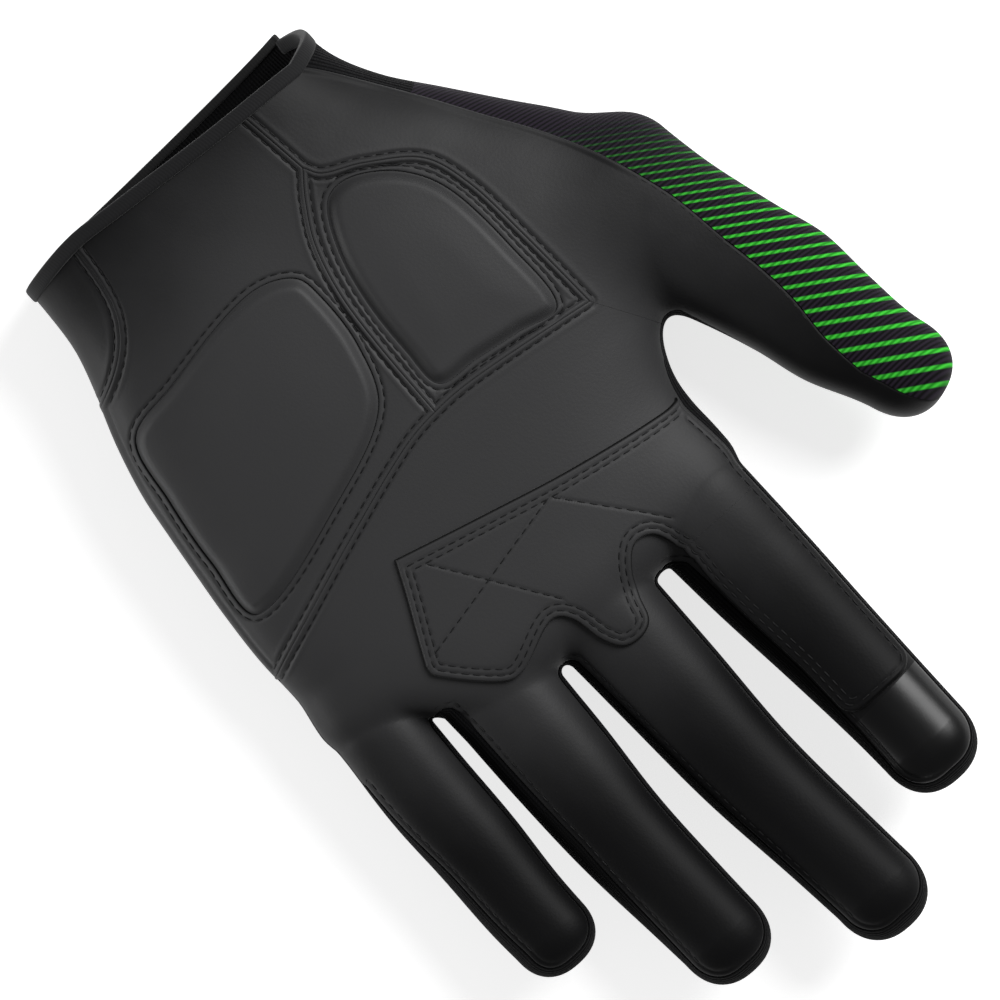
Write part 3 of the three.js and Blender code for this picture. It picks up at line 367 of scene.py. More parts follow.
def run_along(g, axis):
    """Each grid point's distance along its own row or column."""
    step = np.linalg.norm(np.diff(g, axis=axis), axis=-1)
    return np.concatenate([np.zeros_like(step.take([0], axis)), np.cumsum(step, axis)], axis)


def mesh_object(name, points, quads, triangles=None, normals=None, **attributes):
    """A piece from arrays of points and faces, with its normals per corner and the places that
    its material reads."""
    triangles = np.zeros((0, 3), int) if triangles is None else triangles
    corners = np.concatenate([quads.ravel(), triangles.ravel()]).astype(np.int32)
    starts = np.concatenate([np.arange(0, quads.size, 4), quads.size + np.arange(0, triangles.size, 3)])
    mesh = bpy.data.meshes.new(name)
    mesh.vertices.add(len(points))
    mesh.vertices.foreach_set("co", (points * MM).ravel())
    mesh.loops.add(len(corners))
    mesh.loops.foreach_set("vertex_index", corners)
    mesh.polygons.add(len(starts))
    mesh.polygons.foreach_set("loop_start", starts.astype(np.int32))
    mesh.polygons.foreach_set("use_smooth", np.ones(len(starts), bool))
    mesh.update(calc_edges=True)
    if normals is not None:
        own = np.empty(len(starts) * 3)
        mesh.polygons.foreach_get("normal", own)
        sizes = np.concatenate([np.full(len(quads), 4), np.full(len(triangles), 3)])
        given = normals(corners)
        loose = np.isnan(given[:, 0])
        given[loose] = np.repeat(own.reshape(-1, 3), sizes, axis=0)[loose]
        mesh.normals_split_custom_set(given)
    for key, values in attributes.items():
        mesh.attributes.new(key, "FLOAT_VECTOR", "POINT").data.foreach_set("vector", (values * MM).ravel())
    obj = bpy.data.objects.new(name, mesh)
    scene.collection.objects.link(obj)
    return obj


def shell(name, outer, way, thickness, normals=None, wrapped=False, pole=None, edge_shade=None):
    """A closed sheet: the outer grid, the same grid moved inwards by the thickness, and walls
    round its rim. way holds the outward directions, and pole a point that closes the last row of
    a wrapped grid. The outer face has the given normals, or those of the hand surface, so that
    the lengths of one strip meet without a crease. "rest" keeps each point's place, and "weave"
    how far along and across the piece it lies, so that a pattern stays put on a piece that bends.
    inked is how far painted shade blackens each grid point along a cut edge, from 0 to 1."""
    rows, cols = outer.shape[:2]
    flip = np.mean((grid_normals(outer, wrapped) * way).sum(-1)) < 0
    skin = outer.reshape(-1, 3)
    facing = (way if normals is None else normals).reshape(-1, 3)
    inwards = way.reshape(-1, 3)
    weave = np.dstack([run_along(outer, 1), run_along(outer, 0), np.zeros((rows, cols))]).reshape(-1, 3)
    index = np.arange(rows * cols).reshape(rows, cols)
    if wrapped:
        index = np.hstack([index, index[:, :1]])
    fans = np.zeros((0, 3), int)
    if pole is not None:
        skin = np.vstack([skin, pole])
        inwards = np.vstack([inwards, outwards(pole[None])])
        facing = np.vstack([facing, inwards[-1:]])
        weave = np.vstack([weave, weave[-1:]])
        fans = np.stack([index[-1, :-1], index[-1, 1:], np.full(index.shape[1] - 1, rows * cols)], -1)
    count = len(skin)
    front = np.stack([index[:-1, :-1], index[:-1, 1:], index[1:, 1:], index[1:, :-1]], -1).reshape(-1, 4)
    rims = [(index[0, 1:], index[0, :-1])]
    if pole is None:
        rims.append((index[-1, :-1], index[-1, 1:]))
    if not wrapped:
        rims += [(index[:-1, 0], index[1:, 0]), (index[1:, -1], index[:-1, -1])]
    walls = np.vstack([np.stack([p, q, q + count, p + count], -1) for p, q in rims])
    quads = np.vstack([front, front[:, ::-1] + count, walls])
    triangles = np.vstack([fans, fans[:, ::-1] + count])
    if flip:
        quads, triangles = quads[:, ::-1], triangles[:, ::-1]
    first_wall, after_walls = 2 * front.size, quads.size

    def corner_normals(corners):
        given = np.where((corners < count)[:, None], facing[corners % count], -facing[corners % count])
        given[first_wall:after_walls] = np.nan
        return given

    patterns = {"rest": skin, "weave": weave}
    if edge_shade is not None:
        patterns["painted_edge_shade"] = np.repeat(edge_shade.reshape(-1, 1), 3, axis=1)
    points = np.vstack([skin, skin - inwards * thickness])
    both = {key: np.vstack([values, values]) for key, values in patterns.items()}
    return mesh_object(name, points, quads, triangles, corner_normals, **both)


def srgb(code):
    """A linear colour from an sRGB hex value."""
    parts = [int(code[i:i + 2], 16) / 255 for i in (1, 3, 5)]
    return tuple(v / 12.92 if v <= 0.04045 else ((v + 0.055) / 1.055) ** 2.4 for v in parts) + (1,)


def add(tree, kind, links=None, **values):
    """A shader node with its settings, values and links. A key is an input's name or number, or
    a setting of the node."""
    node = tree.nodes.new("ShaderNode" + kind)
    for key, value in values.items():
        if key in node.inputs:
            node.inputs[key].default_value = value
        else:
            setattr(node, key, value)
    for key, source in (links or {}).items():
        tree.links.new(source, node.inputs[key])
    return node


def new_material(name, colour, roughness, specular=0.5, sheen=0.0):
    """A named material, and its node tree and shader."""
    material = bpy.data.materials.new(name)
    material.use_nodes = True
    tree = material.node_tree
    shader = tree.nodes["Principled BSDF"]
    shader.inputs["Base Color"].default_value = srgb(colour)
    shader.inputs["Roughness"].default_value = roughness
    shader.inputs["Specular IOR Level"].default_value = specular
    shader.inputs["Sheen Weight"].default_value = sheen
    return material, tree, shader


def kept_place(tree, name):
    """The places that a piece keeps under a name."""
    return add(tree, "Attribute", attribute_name=name).outputs["Vector"]


def calc(tree, operation, *values):
    """What a math node gives for numbers and links."""
    node = add(tree, "Math", operation=operation)
    for socket, value in zip(node.inputs, values):
        if isinstance(value, (int, float)):
            socket.default_value = value
        else:
            tree.links.new(value, socket)
    return node.outputs["Value"]


def mapped(tree, value, low, high, start=0.0, end=1.0, kind="LINEAR"):
    """A value between low and high, turned into one between start and end and held there."""
    ends = {"From Min": low, "From Max": high, "To Min": start, "To Max": end}
    return add(tree, "MapRange", {"Value": value}, interpolation_type=kind, **ends).outputs["Result"]


def two_tones(tree, share, first, second):
    """The colour between two, at a share."""
    tone = add(tree, "ValToRGB", {"Fac": share})
    tone.color_ramp.elements[0].color = srgb(first)
    tone.color_ramp.elements[1].color = srgb(second)
    return tone.outputs["Color"]


def emboss(tree, shader, height, strength, depth):
    """Gives a material the relief of a height, depth in millimetres."""
    bump = add(tree, "Bump", {"Height": height}, Strength=strength, Distance=depth * MM)
    tree.links.new(bump.outputs["Normal"], shader.inputs["Normal"])


WAVE = 0.1 * math.pi  # a wave texture of scale 1 repeats after this length


def knit(name, dark, light, wale, course, depth):
    """Knitted polyester: matt black loops in columns, one wale wide and one course high in
    millimetres. With a wave w across the columns and c along them, both over the piece's own
    weave, the height is w + w c. The colour goes from dark to light with w, painted shade in the
    hollows between the columns."""
    material, tree, shader = new_material(name, light, 0.9, 0.1, 0.02)
    weave = kept_place(tree, "weave")
    wales, courses = [
        add(tree, "TexWave", {"Vector": weave}, bands_direction=way, Distortion=0.6,
            **{"Scale": WAVE / (size * MM), "Detail Scale": 2.0}).outputs["Fac"]
        for way, size in (("X", wale), ("Y", course))]
    # Painted shade: the colour is darker in the hollows between the columns.
    tree.links.new(two_tones(tree, wales, dark, light), shader.inputs["Base Color"])
    height = calc(tree, "ADD", wales, calc(tree, "MULTIPLY", wales, courses))
    emboss(tree, shader, height, 0.7, depth)
    return material


# Ribbed knit stretches across the finger, so its ribs run along it. Its ribs are drawn a little
# coarser than the real 1 mm, so that they show.
ribbed_knit = knit("ribbed polyester knit", "#040405", "#141416", 1.1, 0.8, 0.2)
black_knit = knit("black polyester knit", "#050506", "#101011", 0.8, 0.8, 0.12)


def place(obj, material, slot, bodies, *nodes):
    """Gives a piece its material, parents it to the body it moves with and hides the CAD nodes it
    stands for. bodies is one body's name, or a key of BENDS for a piece that crosses a joint;
    such a piece only has its placement baked into its mesh and gets no body."""
    obj.data.materials.append(material)
    if bodies in BENDS:
        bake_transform(obj)
    else:
        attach(obj, bodies)
    if nodes:
        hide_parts(*nodes)


crotches = {"index_middle": crotch_ribs("index_middle", "index", 0.13),
            "middle_ring": crotch_ribs("middle_ring", "middle", 0.1),
            "ring_little": crotch_ribs("ring_little", "ring", 0.02)}
# Each finger's band also takes the near half of the crotch on either side: the crotch before it,
# where its own ribs start on both sides, and the crotch after it.
FINGERS = {"index": (None, 0.0, 0.16, "index_middle"),
           "middle": ("index_middle", 0.13, 0.13, "middle_ring"),
           "ring": ("middle_ring", 0.15, 0.05, "ring_little"),
           "little": ("ring_little", 0.18, 0.1, None)}
seams, back_seams = {}, {}
for name, (before, low_left, low_right, after) in FINGERS.items():
    ribs = [finger_ribs(name, low_left, low_right)]
    if before:
        ribs.insert(0, rows_of(crotches[before], CROTCH_RIBS // 2, -6))
    if after:
        ribs.append(rows_of(crotches[after], 6, CROTCH_RIBS // 2 + 1))
    points = rib_cuts(*ribs_together(*ribs))
    way = outwards(points)
    beyond = points[:, 0, 1] > JOINTS[name][2]
    first, last = int(np.argmax(beyond)), len(beyond) - 1 - int(np.argmax(beyond[::-1]))
    for key, rows, bend, material, slot in (
            ("side_thumbwards", slice(0, first + 1), "_root", ribbed_knit, "ribbed_knit"),
            ("tip_wrap", slice(first, last + 1), "_tip", black_knit, "black_knit"),
            ("side_outwards", slice(last, None), "_root", ribbed_knit, "ribbed_knit")):
        band = shell(f"{name}_{key}_knit", points[rows], way[rows], KNIT)
        nodes = [f"{name}_{key}"]
        if key == "side_outwards" and after:
            nodes.append("crotch_" + after)
        place(band, material, slot, name + bend, *nodes)
    seams[name] = (points[:, 0, :2], first, last)
    back_seams[name] = (points[:, -1, :2], first, last)


# Finger palm strips
# Synthetic leather from the finger roots up to just short of each tip, with both edges turned
# and sewn to the knit. The index finger's end is a smooth coated piece instead, for touch screens.

LEATHER = 1.1
SEAM_ROW = 1.25  # from a seam to its row of stitches
TIP_CAP_START = 73.4
STRIP_WIDTH, STRIP_STEP = 20, 0.7  # for the mesh: about how wide a strip is, and its step
FOOT_BOW, BOW_LENGTH = 3.5, 14.0  # a strip's foot bows this far, and its rows are straight after this
# Steps from a turned edge where the mesh is finer, in millimetres.
EDGE_STEPS = np.array([0.04, 0.12, 0.22, 0.36, 0.55, 0.75, 0.93, 1.1, 1.25, 1.4, 1.57, 1.8, 2.1, 2.5])


def resample(line, shares):
    """Places at shares of a line's length."""
    line = np.asarray(line, float)
    run = np.concatenate([[0], np.cumsum(np.linalg.norm(np.diff(line, axis=0), axis=1))])
    at = np.asarray(shares) * run[-1]
    return np.column_stack([np.interp(at, run, line[:, c]) for c in range(line.shape[1])])


def length_of(line):
    return np.linalg.norm(np.diff(line, axis=0), axis=1).sum()


def distance_to(line, xy):
    """Distance from places in plan to the nearest stretch of a line."""
    flat = np.asarray(xy, float)[..., :2].reshape(-1, 2)
    best = np.full(len(flat), 1e9)
    for a, b in zip(line[:-1], line[1:]):
        d = b - a
        t = np.clip((flat - a) @ d / max(d @ d, 1e-12), 0, 1)
        best = np.minimum(best, ((flat - a - t[:, None] * d) ** 2).sum(1))
    return np.sqrt(best).reshape(np.shape(xy)[:-1])


def graded(length, step=0.6, start=True, end=True):
    """Shares of a length, a step apart and closer near the ends that are turned edges."""
    near = EDGE_STEPS * min(1, length / 3 / EDGE_STEPS[-1])
    low = near if start else np.array([0.0])
    high = length - near[::-1] if end else np.array([length])
    count = max(int((high[0] - low[-1]) / step), 1)
    return np.concatenate([low, np.linspace(low[-1], high[0], count + 1)[1:-1], high]) / length


def raised(base, way, relief, wrapped=False):
    """The hand surface raised by a relief, and its normals: the surface's own, tilted by what
    the relief changes."""
    points = base + way * np.asarray(relief)[..., None]
    change = grid_normals(points, wrapped) - grid_normals(base, wrapped)
    normals = way + change * np.sign((grid_normals(base, wrapped) * way).sum(-1).mean())
    return points, normals / np.linalg.norm(normals, axis=-1, keepdims=True)


def rolled(distance, radius=0.3, drop=0.22):
    """How far a turned edge curves down, as a quarter ellipse, at a distance from it."""
    t = np.clip(1 - distance / radius, 0, 1)
    return -drop * (1 - np.sqrt(np.maximum(1 - t * t, 0)))


def groove(distance, width=0.32, depth=0.2):
    """The dent that a row of stitches pulls, as a bell curve across it."""
    return -depth * np.exp(-((distance / width) ** 2))


def sewn_edge(distance):
    """A topstitched seam, at a distance from it: the turned edge, the puffed band out to the row
    of stitches, the groove under the thread and a low ridge beyond it."""
    puffed = 0.3 * (1 - ease(0.5, 1.2, distance))
    ridge = 0.08 * np.exp(-(((distance - 2.1) / 0.5) ** 2))
    return rolled(distance) + puffed + groove(distance - SEAM_ROW) + ridge


def strip_grid(line, first, last, across, step):
    """Rows across a finger between the two sides of its seam line, from its foot to the tip, and
    the row where it is cut. The foot bows towards the palm, so that the rows stay clear of the
    round crotches, and the cut row goes straight from one side to the other."""
    top = int(np.argmax(line[:, 1]))
    lower = np.linspace(0, 1, int(length_of(line[: first + 1]) / step) + 1)
    upper = graded(length_of(line[first: top + 1]), step, start=False)
    a = np.vstack([resample(line[: first + 1], lower), resample(line[first: top + 1], upper)[1:]])
    b = np.vstack([resample(line[last:][::-1], lower), resample(line[top: last + 1][::-1], upper)[1:]])
    u = across[None, :, None]
    rows = a[:, None] * (1 - u) + b[:, None] * u
    bow = FOOT_BOW * (1 - ease(0, BOW_LENGTH, lower * length_of(line[: first + 1])))
    rows[: len(lower), :, 1] -= bow[:, None] * 4 * across * (1 - across)
    return rows, len(lower) - 1


LIGHT_POOL_MIDDLE = (18 * MM, -30 * MM, 36 * MM)  # the middle of the pool of light painted on the leather
LIGHT_POOL_REACH, SHADE_REACH = 36 * MM, 94 * MM  # within this distance of it the painted light is full, beyond it the painted shade is darkest
DRIFT = 22 * MM  # size of the patches by which the tone drifts


def leather(name, middle, ends, roughness, specular, grain, grain_depth):
    """Synthetic leather: coated microfibre, matt with a soft shine. Its colour holds painted light
    and shade: a painted pool of light in the middle of the palm, with the colour middle, and
    painted shade, the colour ends, towards the cuff, the thumb and the fingertips, where the shine
    is lower too; the tone also drifts a little. Its grain is a net of fine pores, one grain wide in
    millimetres. Along a cut edge that a piece marks, the colour is painted nearly black as shade."""
    material, tree, shader = new_material(name, middle, roughness, specular, 0.08)
    shader.inputs["Sheen Roughness"].default_value = 0.35
    rest = kept_place(tree, "rest")
    away = add(tree, "VectorMath", {0: rest}, operation="DISTANCE")
    away.inputs[1].default_value = LIGHT_POOL_MIDDLE
    drift = add(tree, "TexNoise", {"Vector": rest}, Scale=1 / DRIFT, Detail=3.0).outputs["Fac"]
    shift = calc(tree, "MULTIPLY_ADD", drift, 20 * MM, -10 * MM)
    # Painted light and shade: the colour goes from the lit middle tone to the painted shade of the ends
    # with the distance from the pool's middle, and the shine drops with it.
    far = mapped(tree, calc(tree, "ADD", away.outputs["Value"], shift), LIGHT_POOL_REACH, SHADE_REACH, kind="SMOOTHSTEP")
    shine = mapped(tree, far, 0.0, 1.0, specular, specular * 0.45)
    tree.links.new(shine, shader.inputs["Specular IOR Level"])
    # Painted shade along a cut edge: where a piece marks it, the colour goes nearly black.
    painted_edge_shade = add(tree, "Attribute", attribute_name="painted_edge_shade").outputs["Fac"]
    black = mapped(tree, painted_edge_shade, 0.0, MM, 0.0, 0.95)
    coloured = add(tree, "Mix", {0: black, 6: two_tones(tree, far, middle, ends)}, data_type="RGBA")
    coloured.inputs[7].default_value = srgb("#020202")
    tree.links.new(coloured.outputs[2], shader.inputs["Base Color"])
    rough = mapped(tree, drift, 0.0, 1.0, roughness - 0.04, roughness + 0.05)
    tree.links.new(rough, shader.inputs["Roughness"])
    pores = add(tree, "TexVoronoi", {"Vector": rest}, Scale=1 / (grain * MM)).outputs["Distance"]
    fibre = add(tree, "TexNoise", {"Vector": rest}, Scale=3 / (grain * MM), Detail=4.0).outputs["Fac"]
    emboss(tree, shader, calc(tree, "ADD", pores, fibre), 0.5, grain_depth)
    return material


# The second tone of each leather is painted shade towards the cuff, the thumb and the fingertips.
palm_leather = leather("palm synthetic leather", "#3b3b3c", "#0e0e0f", 0.52, 0.28, 0.7, 0.03)
# The fingertip's conductive coating is smooth and shines.
gloss_leather = leather("coated fingertip leather", "#070708", "#050506", 0.34, 0.8, 1.2, 0.008)
strips = {}
for name, (line, first, last) in seams.items():
    plan, row = strip_grid(line, first, last, graded(STRIP_WIDTH, STRIP_STEP), STRIP_STEP)
    surface = on_front(plan)
    way = outwards(surface)
    edge = distance_to(line, plan)
    outer_side = ease(0.55, 0.8, np.linspace(0, 1, plan.shape[1]))
    relief = rolled(edge, 0.5, 0.35) + groove(edge - SEAM_ROW, 0.32, 0.16) * outer_side
    surface, normals = raised(surface, way, relief)
    strips[name] = plan
    cap = int(np.argmax(plan[:, 0, 1] > TIP_CAP_START)) if name == "index" else len(plan) - 1
    for key, low, high, bend in (("lower", 0, row, "_root"), ("upper", row, cap, "_tip")):
        rows = slice(low, high + 1)
        strip = shell(f"{name}_palm_{key}_leather", surface[rows], way[rows], LEATHER, normals[rows])
        place(strip, palm_leather, "finger_leather", name + bend, f"{name}_palm_{key}")
    if name == "index":
        strip = shell("index_palm_tip_cap_leather", surface[cap:], way[cap:], LEATHER, normals[cap:])
        place(strip, gloss_leather, "gloss_leather", "index_tip", "index_tip_cap")


# Finger backs
# Black knit over the back of each finger, sewn to the side strips.

BACK_WIDTH, BACK_STEP = 17, 1.2  # for the mesh: about how wide it is, and its step
for name, (line, first, last) in back_seams.items():
    plan, row = strip_grid(line, first, last, graded(BACK_WIDTH, BACK_STEP), BACK_STEP)
    surface = on_back(plan)
    way = outwards(surface)
    surface, normals = raised(surface, way, rolled(distance_to(line, plan), 0.6, 0.3))
    for key, rows, bend in (("lower", slice(0, row + 1), "_root"), ("upper", slice(row, None), "_tip")):
        strip = shell(f"{name}_back_{key}_knit", surface[rows], way[rows], KNIT, normals[rows])
        place(strip, black_knit, "black_knit", name + bend, f"{name}_back_{key}")


# Thumb web
# One strip of ribbed knit from the index finger's root round the crotch and up to the thumb's
# joint, sewn to the palm leather in front and to the back.

WEB_MIDDLE, WEB_REACH = (-36.5, -7.0), 16.3
WEB_EDGE = 0.9
THUMB_JOIN, THUMB_CUT = 0.3, 0.535  # shares of the thumb: its end at the hand, and its cut


def palm_middle(y):
    """The height of the palm's middle at places along the hand."""
    back, front = along_table(PALM_SECTIONS, 3, y / PALM), along_table(PALM_SECTIONS, 4, y / PALM)
    return (back + front) / 2 * PALM_DEPTH


WEB_STOP = 62.0  # facing of the last rib round the crotch
turns = np.linspace(179, WEB_STOP, 48)
round_crotch = fan(WEB_MIDDLE, WEB_REACH, turns, float(palm_middle(WEB_MIDDLE[1])))
index_y = np.arange(19.2, -6.0, -1.0)
index_side = np.column_stack([along_table(PALM_SECTIONS, 1, index_y / PALM) * PALM + 17, index_y,
                              palm_middle(index_y)])
thumb_end = digit_middle("thumb", np.array([THUMB_JOIN]))
# From the last rib round the crotch to the thumb's end the ribs are aimed at places evenly spaced
# along the outline, so that none of them crosses the one before it.
t = np.linspace(0, 1, 6)[1:, None]
ends = np.vstack([round_crotch[-1:], thumb_end])
end_turns = np.radians([WEB_STOP, DIGITS["thumb"]["turn"]])
outs = cast(ends, np.stack([np.cos(end_turns), np.sin(end_turns), np.zeros(2)], -1))
to_thumb = ends[0] * (1 - t) + ends[1] * t
aim = outs[0] * (1 - t) + outs[1] * t - to_thumb
start = np.vstack([digit_middle("index", np.array([0.0])), index_side, round_crotch, to_thumb])
aimed = np.degrees(np.arctan2(aim[:, 1], aim[:, 0]))
angle = np.concatenate([np.full(len(index_y) + 1, 180.0), turns, aimed])
# The knit shows most beside the index finger's root.
front = np.interp(start[:, 1], [-12, 2, 14, 19], [WEB_EDGE, 2.2, 1.2, THUMB_EDGE])
front = np.where(np.arange(len(angle)) < len(index_y) + 20, front, WEB_EDGE)
web = rib_cuts(start, angle, front, np.full(len(angle), BACK_EDGE))
place(shell("thumb_web_knit", web, outwards(web), KNIT), ribbed_knit, "ribbed_knit", "hand", "thumb_web")


# Little-finger side
# Ribbed knit from the root of the little finger down the edge of the hand to the cuff. Its end
# slopes, because the cuff is longer at the back.

CUFF_SIDE, CUFF_BACK = -107.8, -109.8
side_y = np.concatenate([np.arange(15.5, -95, -1.2), np.linspace(-95, CUFF_SIDE, 12)])
side_x = along_table(PALM_SECTIONS, 2, side_y / PALM) * PALM - 17
start = np.vstack([digit_middle("little", np.array([0.1])),
                   np.column_stack([side_x, side_y, palm_middle(side_y)])])
lean = (CUFF_SIDE - CUFF_BACK) * ease(-80, CUFF_SIDE, start[:, 1])
front = 0.1 + 0.25 * ease(-20, 5, start[:, 1])
side = rib_cuts(start, np.zeros(len(start)), front, np.full(len(start), BACK_EDGE), lean=lean)
piece = shell("little_side_knit", side, outwards(side), KNIT)
place(piece, ribbed_knit, "ribbed_knit", "hand", "little_side_panel")


# Palm leather and the thumb
# The thumb is a tube of its own: leather towards the palm, a narrow knit strip on its inner side
# and striped twill over its back, sewn together lengthwise.

# Where the leather ends on top of the thumb: place along it, millimetres from its middle.
THUMB_SEAM = [(0.2, -3.6), (0.3, -2.6), (0.4, -1.16), (0.49, 0.58), (0.64, 3.5), (0.78, 5.5), (0.86, 5.2)]
TWILL = 1.0
turn = math.radians(DIGITS["thumb"]["turn"])
inner_way = np.array([math.cos(turn), math.sin(turn), 0])
along_way = np.array([-math.sin(turn), math.cos(turn), 0])
for key, low, high, a, b in (("root", THUMB_JOIN, 0.5, "hand", "thumb_lower"),
                             ("tip", 0.57, 0.75, "thumb_lower", "thumb_upper")):
    bottom = np.array([*DIGITS["thumb"]["root"], 0])
    length = DIGITS["thumb"]["length"]
    BENDS["thumb_" + key] = (a, b, tuple((bottom + along_way * low * length) * MM),
                             tuple((bottom + along_way * high * length) * MM))


def thumb_grid(share, tilt, low, high, columns):
    """Rows round the thumb between two angles, each from a place along it, and tilted towards
    the tip for the last rows."""
    start = digit_middle("thumb", share)
    angle = np.radians(low[:, None] + (high - low)[:, None] * np.linspace(0, 1, columns))
    way = inner_way * np.cos(angle)[..., None] + np.array([0, 0, 1.0]) * np.sin(angle)[..., None]
    lean = np.radians(tilt)[:, None, None]
    return cast(np.broadcast_to(start[:, None], way.shape), way * np.cos(lean) + along_way * np.sin(lean))


STRIPES_WAY, RIBS_WAY = (0.53, 0.848, 0), (-0.018, 1.0, 0.3)  # square to the stripes, and to the ribs
TWILL_RIB = 0.96  # from rib to rib


def striped_twill(name):
    """Printed polyester twill: near-black cloth with fine ribs across the hand and a faint purple
    cast, and bright green stripes. The ribs' crests are painted lighter and their hollows darker,
    as light and shade, in the cloth and in the green alike; the purple cast is the cloth's own.
    Along the line square to the stripes, at s from the frame's middle, a stripe comes each
    (s + 110 mm) / 28, so they close up towards the wrist, where they also fade."""
    material, tree, shader = new_material(name, "#17151b", 0.75, 0.12, 0.02)
    rest = kept_place(tree, "rest")

    def along_line(direction):
        node = add(tree, "VectorMath", {0: rest}, operation="DOT_PRODUCT")
        node.inputs[1].default_value = direction
        return node.outputs["Value"]

    across = along_line(STRIPES_WAY)
    log = calc(tree, "LOGARITHM", calc(tree, "ADD", across, 110 * MM), math.e)
    wave = calc(tree, "PINGPONG", calc(tree, "MULTIPLY", log, 28), 0.5)
    stripe = mapped(tree, wave, 0.07, 0.19, 1.0, 0.0, "SMOOTHSTEP")
    fade = mapped(tree, across, -76 * MM, -46 * MM, kind="SMOOTHSTEP")
    turns = calc(tree, "MULTIPLY", along_line(RIBS_WAY), 2 * math.pi / (TWILL_RIB * MM))
    level = mapped(tree, calc(tree, "SINE", turns), -1.0, 1.0)
    # Painted light and shade: lit and shaded tones of the cloth and of the green, by the height of the
    # ribs.
    cloth = two_tones(tree, level, "#020203", "#261f2b")
    green = two_tones(tree, level, "#1f921c", "#46d63f")
    mix = add(tree, "Mix", {0: calc(tree, "MULTIPLY", stripe, fade), 6: cloth, 7: green}, data_type="RGBA")
    tree.links.new(mix.outputs[2], shader.inputs["Base Color"])
    emboss(tree, shader, level, 0.6, 0.12)
    return material


striped_knit = striped_twill("striped printed twill")
top_share = 1 - DIGITS["thumb"]["tip"]
share = np.concatenate([np.linspace(THUMB_JOIN, THUMB_CUT, 36), np.linspace(THUMB_CUT, top_share, 48)[1:],
                        np.full(36, top_share)])
tilt = np.concatenate([np.zeros(83), np.linspace(0, 89.5, 37)[1:]])
middle = digit_middle("thumb", share)
away = np.interp(share, *np.transpose(THUMB_SEAM))
seam_top = on_front((middle + away[:, None] * inner_way)[:, :2])
seam_angle = np.degrees(np.arctan2(seam_top[:, 2] - middle[:, 2], away))


def angle_at_thumb(point):
    """How high a point of the thumb's end ring lies, seen from the thumb's middle."""
    return np.degrees(math.atan2(point[2] - thumb_end[0, 2], np.linalg.norm(point[:2] - thumb_end[0, :2])))


web_high, web_low = angle_at_thumb(web[-1, 0]), angle_at_thumb(web[-1, -1])
inner_seam = np.interp(share, [THUMB_JOIN, 0.5, top_share], [web_high, 4, -28])
lower_seam = np.full(len(share), web_low)
for label, low, high, columns, thickness, material, slot, nodes in (
        ("palm_leather", inner_seam, seam_angle, 50, LEATHER, palm_leather, "palm_leather", "palm"),
        ("gusset_knit", lower_seam, inner_seam, 12, KNIT, ribbed_knit, "ribbed_knit", None),
        ("back_twill", seam_angle, lower_seam + 360, 70, TWILL, striped_knit, "striped_knit", "back")):
    points = thumb_grid(share, tilt, low, high, columns)
    way = outwards(points)
    normals = way
    if nodes == "palm":
        edge = run_along(points, 1)
        edge = edge[:, -1:] - edge
        points, normals = raised(points, way, rolled(edge, 0.5, 0.4))
    for key, part, rows in (("root", "lower", slice(0, 36)), ("tip", "upper", slice(35, None))):
        piece = shell(f"thumb_{label}_{key}", points[rows], way[rows], thickness, normals[rows])
        place(piece, material, slot, "thumb_" + key, *([f"thumb_{nodes}_{part}"] if nodes else []))


# Thumb side of the hand
# The striped twill goes on from the thumb over the edge of the hand. Near the wrist a wedge of
# stretch knit takes over, so that the hand gets in.

THUMB_SIDE = [(-55, -33), (-50, -48), (-44.2, -60), (-36.7, -72), (-30, -83), (-20, -98), (-14.2, -105.3)]
GUSSET_START = -84.0
CUFF_BACK_CORNER = -112.6  # the back's corner at the thumb side


def smooth_line(points, step=0.4):
    """A smooth curve through points in plan, as places about a step apart. Each stretch is a
    cubic whose end slopes come from the points on either side. A closed line repeats its start."""
    p = np.asarray(points, float)
    if np.allclose(p[0], p[-1]):
        p = np.vstack([p[-2], p, p[1]])
    else:
        p = np.vstack([2 * p[0] - p[1], p, 2 * p[-1] - p[-2]])
    run = np.concatenate([[0], np.cumsum(np.sqrt(np.linalg.norm(np.diff(p, axis=0), axis=1)))])
    slope = (p[2:] - p[:-2]) / (run[2:] - run[:-2])[:, None]
    t = np.linspace(0, 1, 24, endpoint=False)[:, None]
    bend = t * t * (3 - 2 * t)
    line = []
    for i in range(1, len(p) - 2):
        span = run[i + 1] - run[i]
        line.append(p[i] * (1 - bend) + p[i + 1] * bend + t * (1 - t) ** 2 * span * slope[i - 1]
                    + t * t * (t - 1) * span * slope[i])
    line = np.vstack(line + [p[-2:-1]])
    return resample(line, np.linspace(0, 1, max(int(length_of(line) / step), 2) + 1))


join_away = np.interp(THUMB_JOIN, *np.transpose(THUMB_SEAM))
thumb_side_line = smooth_line(np.vstack([(thumb_end[0] + join_away * inner_way)[:2], THUMB_SIDE]), step=1.2)
run = np.linspace(0, 1, len(thumb_side_line))
facing = np.interp(run, [0, 0.12, 0.35, 0.5, 0.7, 0.85, 1], [198, 203, 215, 217, 213, 206, 185])
reach_in = np.interp(run, [0, 0.15, 1], [max(-join_away, 0.6), 1.8, 6.8])
towards = np.column_stack([np.cos(np.radians(facing)), np.sin(np.radians(facing))])
heights = palm_middle(thumb_side_line[:, 1])
heights[:6] = np.linspace(thumb_end[0, 2], heights[6], 6)
lean = (THUMB_SIDE[-1][1] - CUFF_BACK_CORNER) * ease(0.7, 1, run)
start = np.column_stack([thumb_side_line - towards * reach_in[:, None], heights])
thumb_side = rib_cuts(start, facing, -reach_in, np.interp(run, [0, 1], [7, 4]), steps=26, lean=lean)
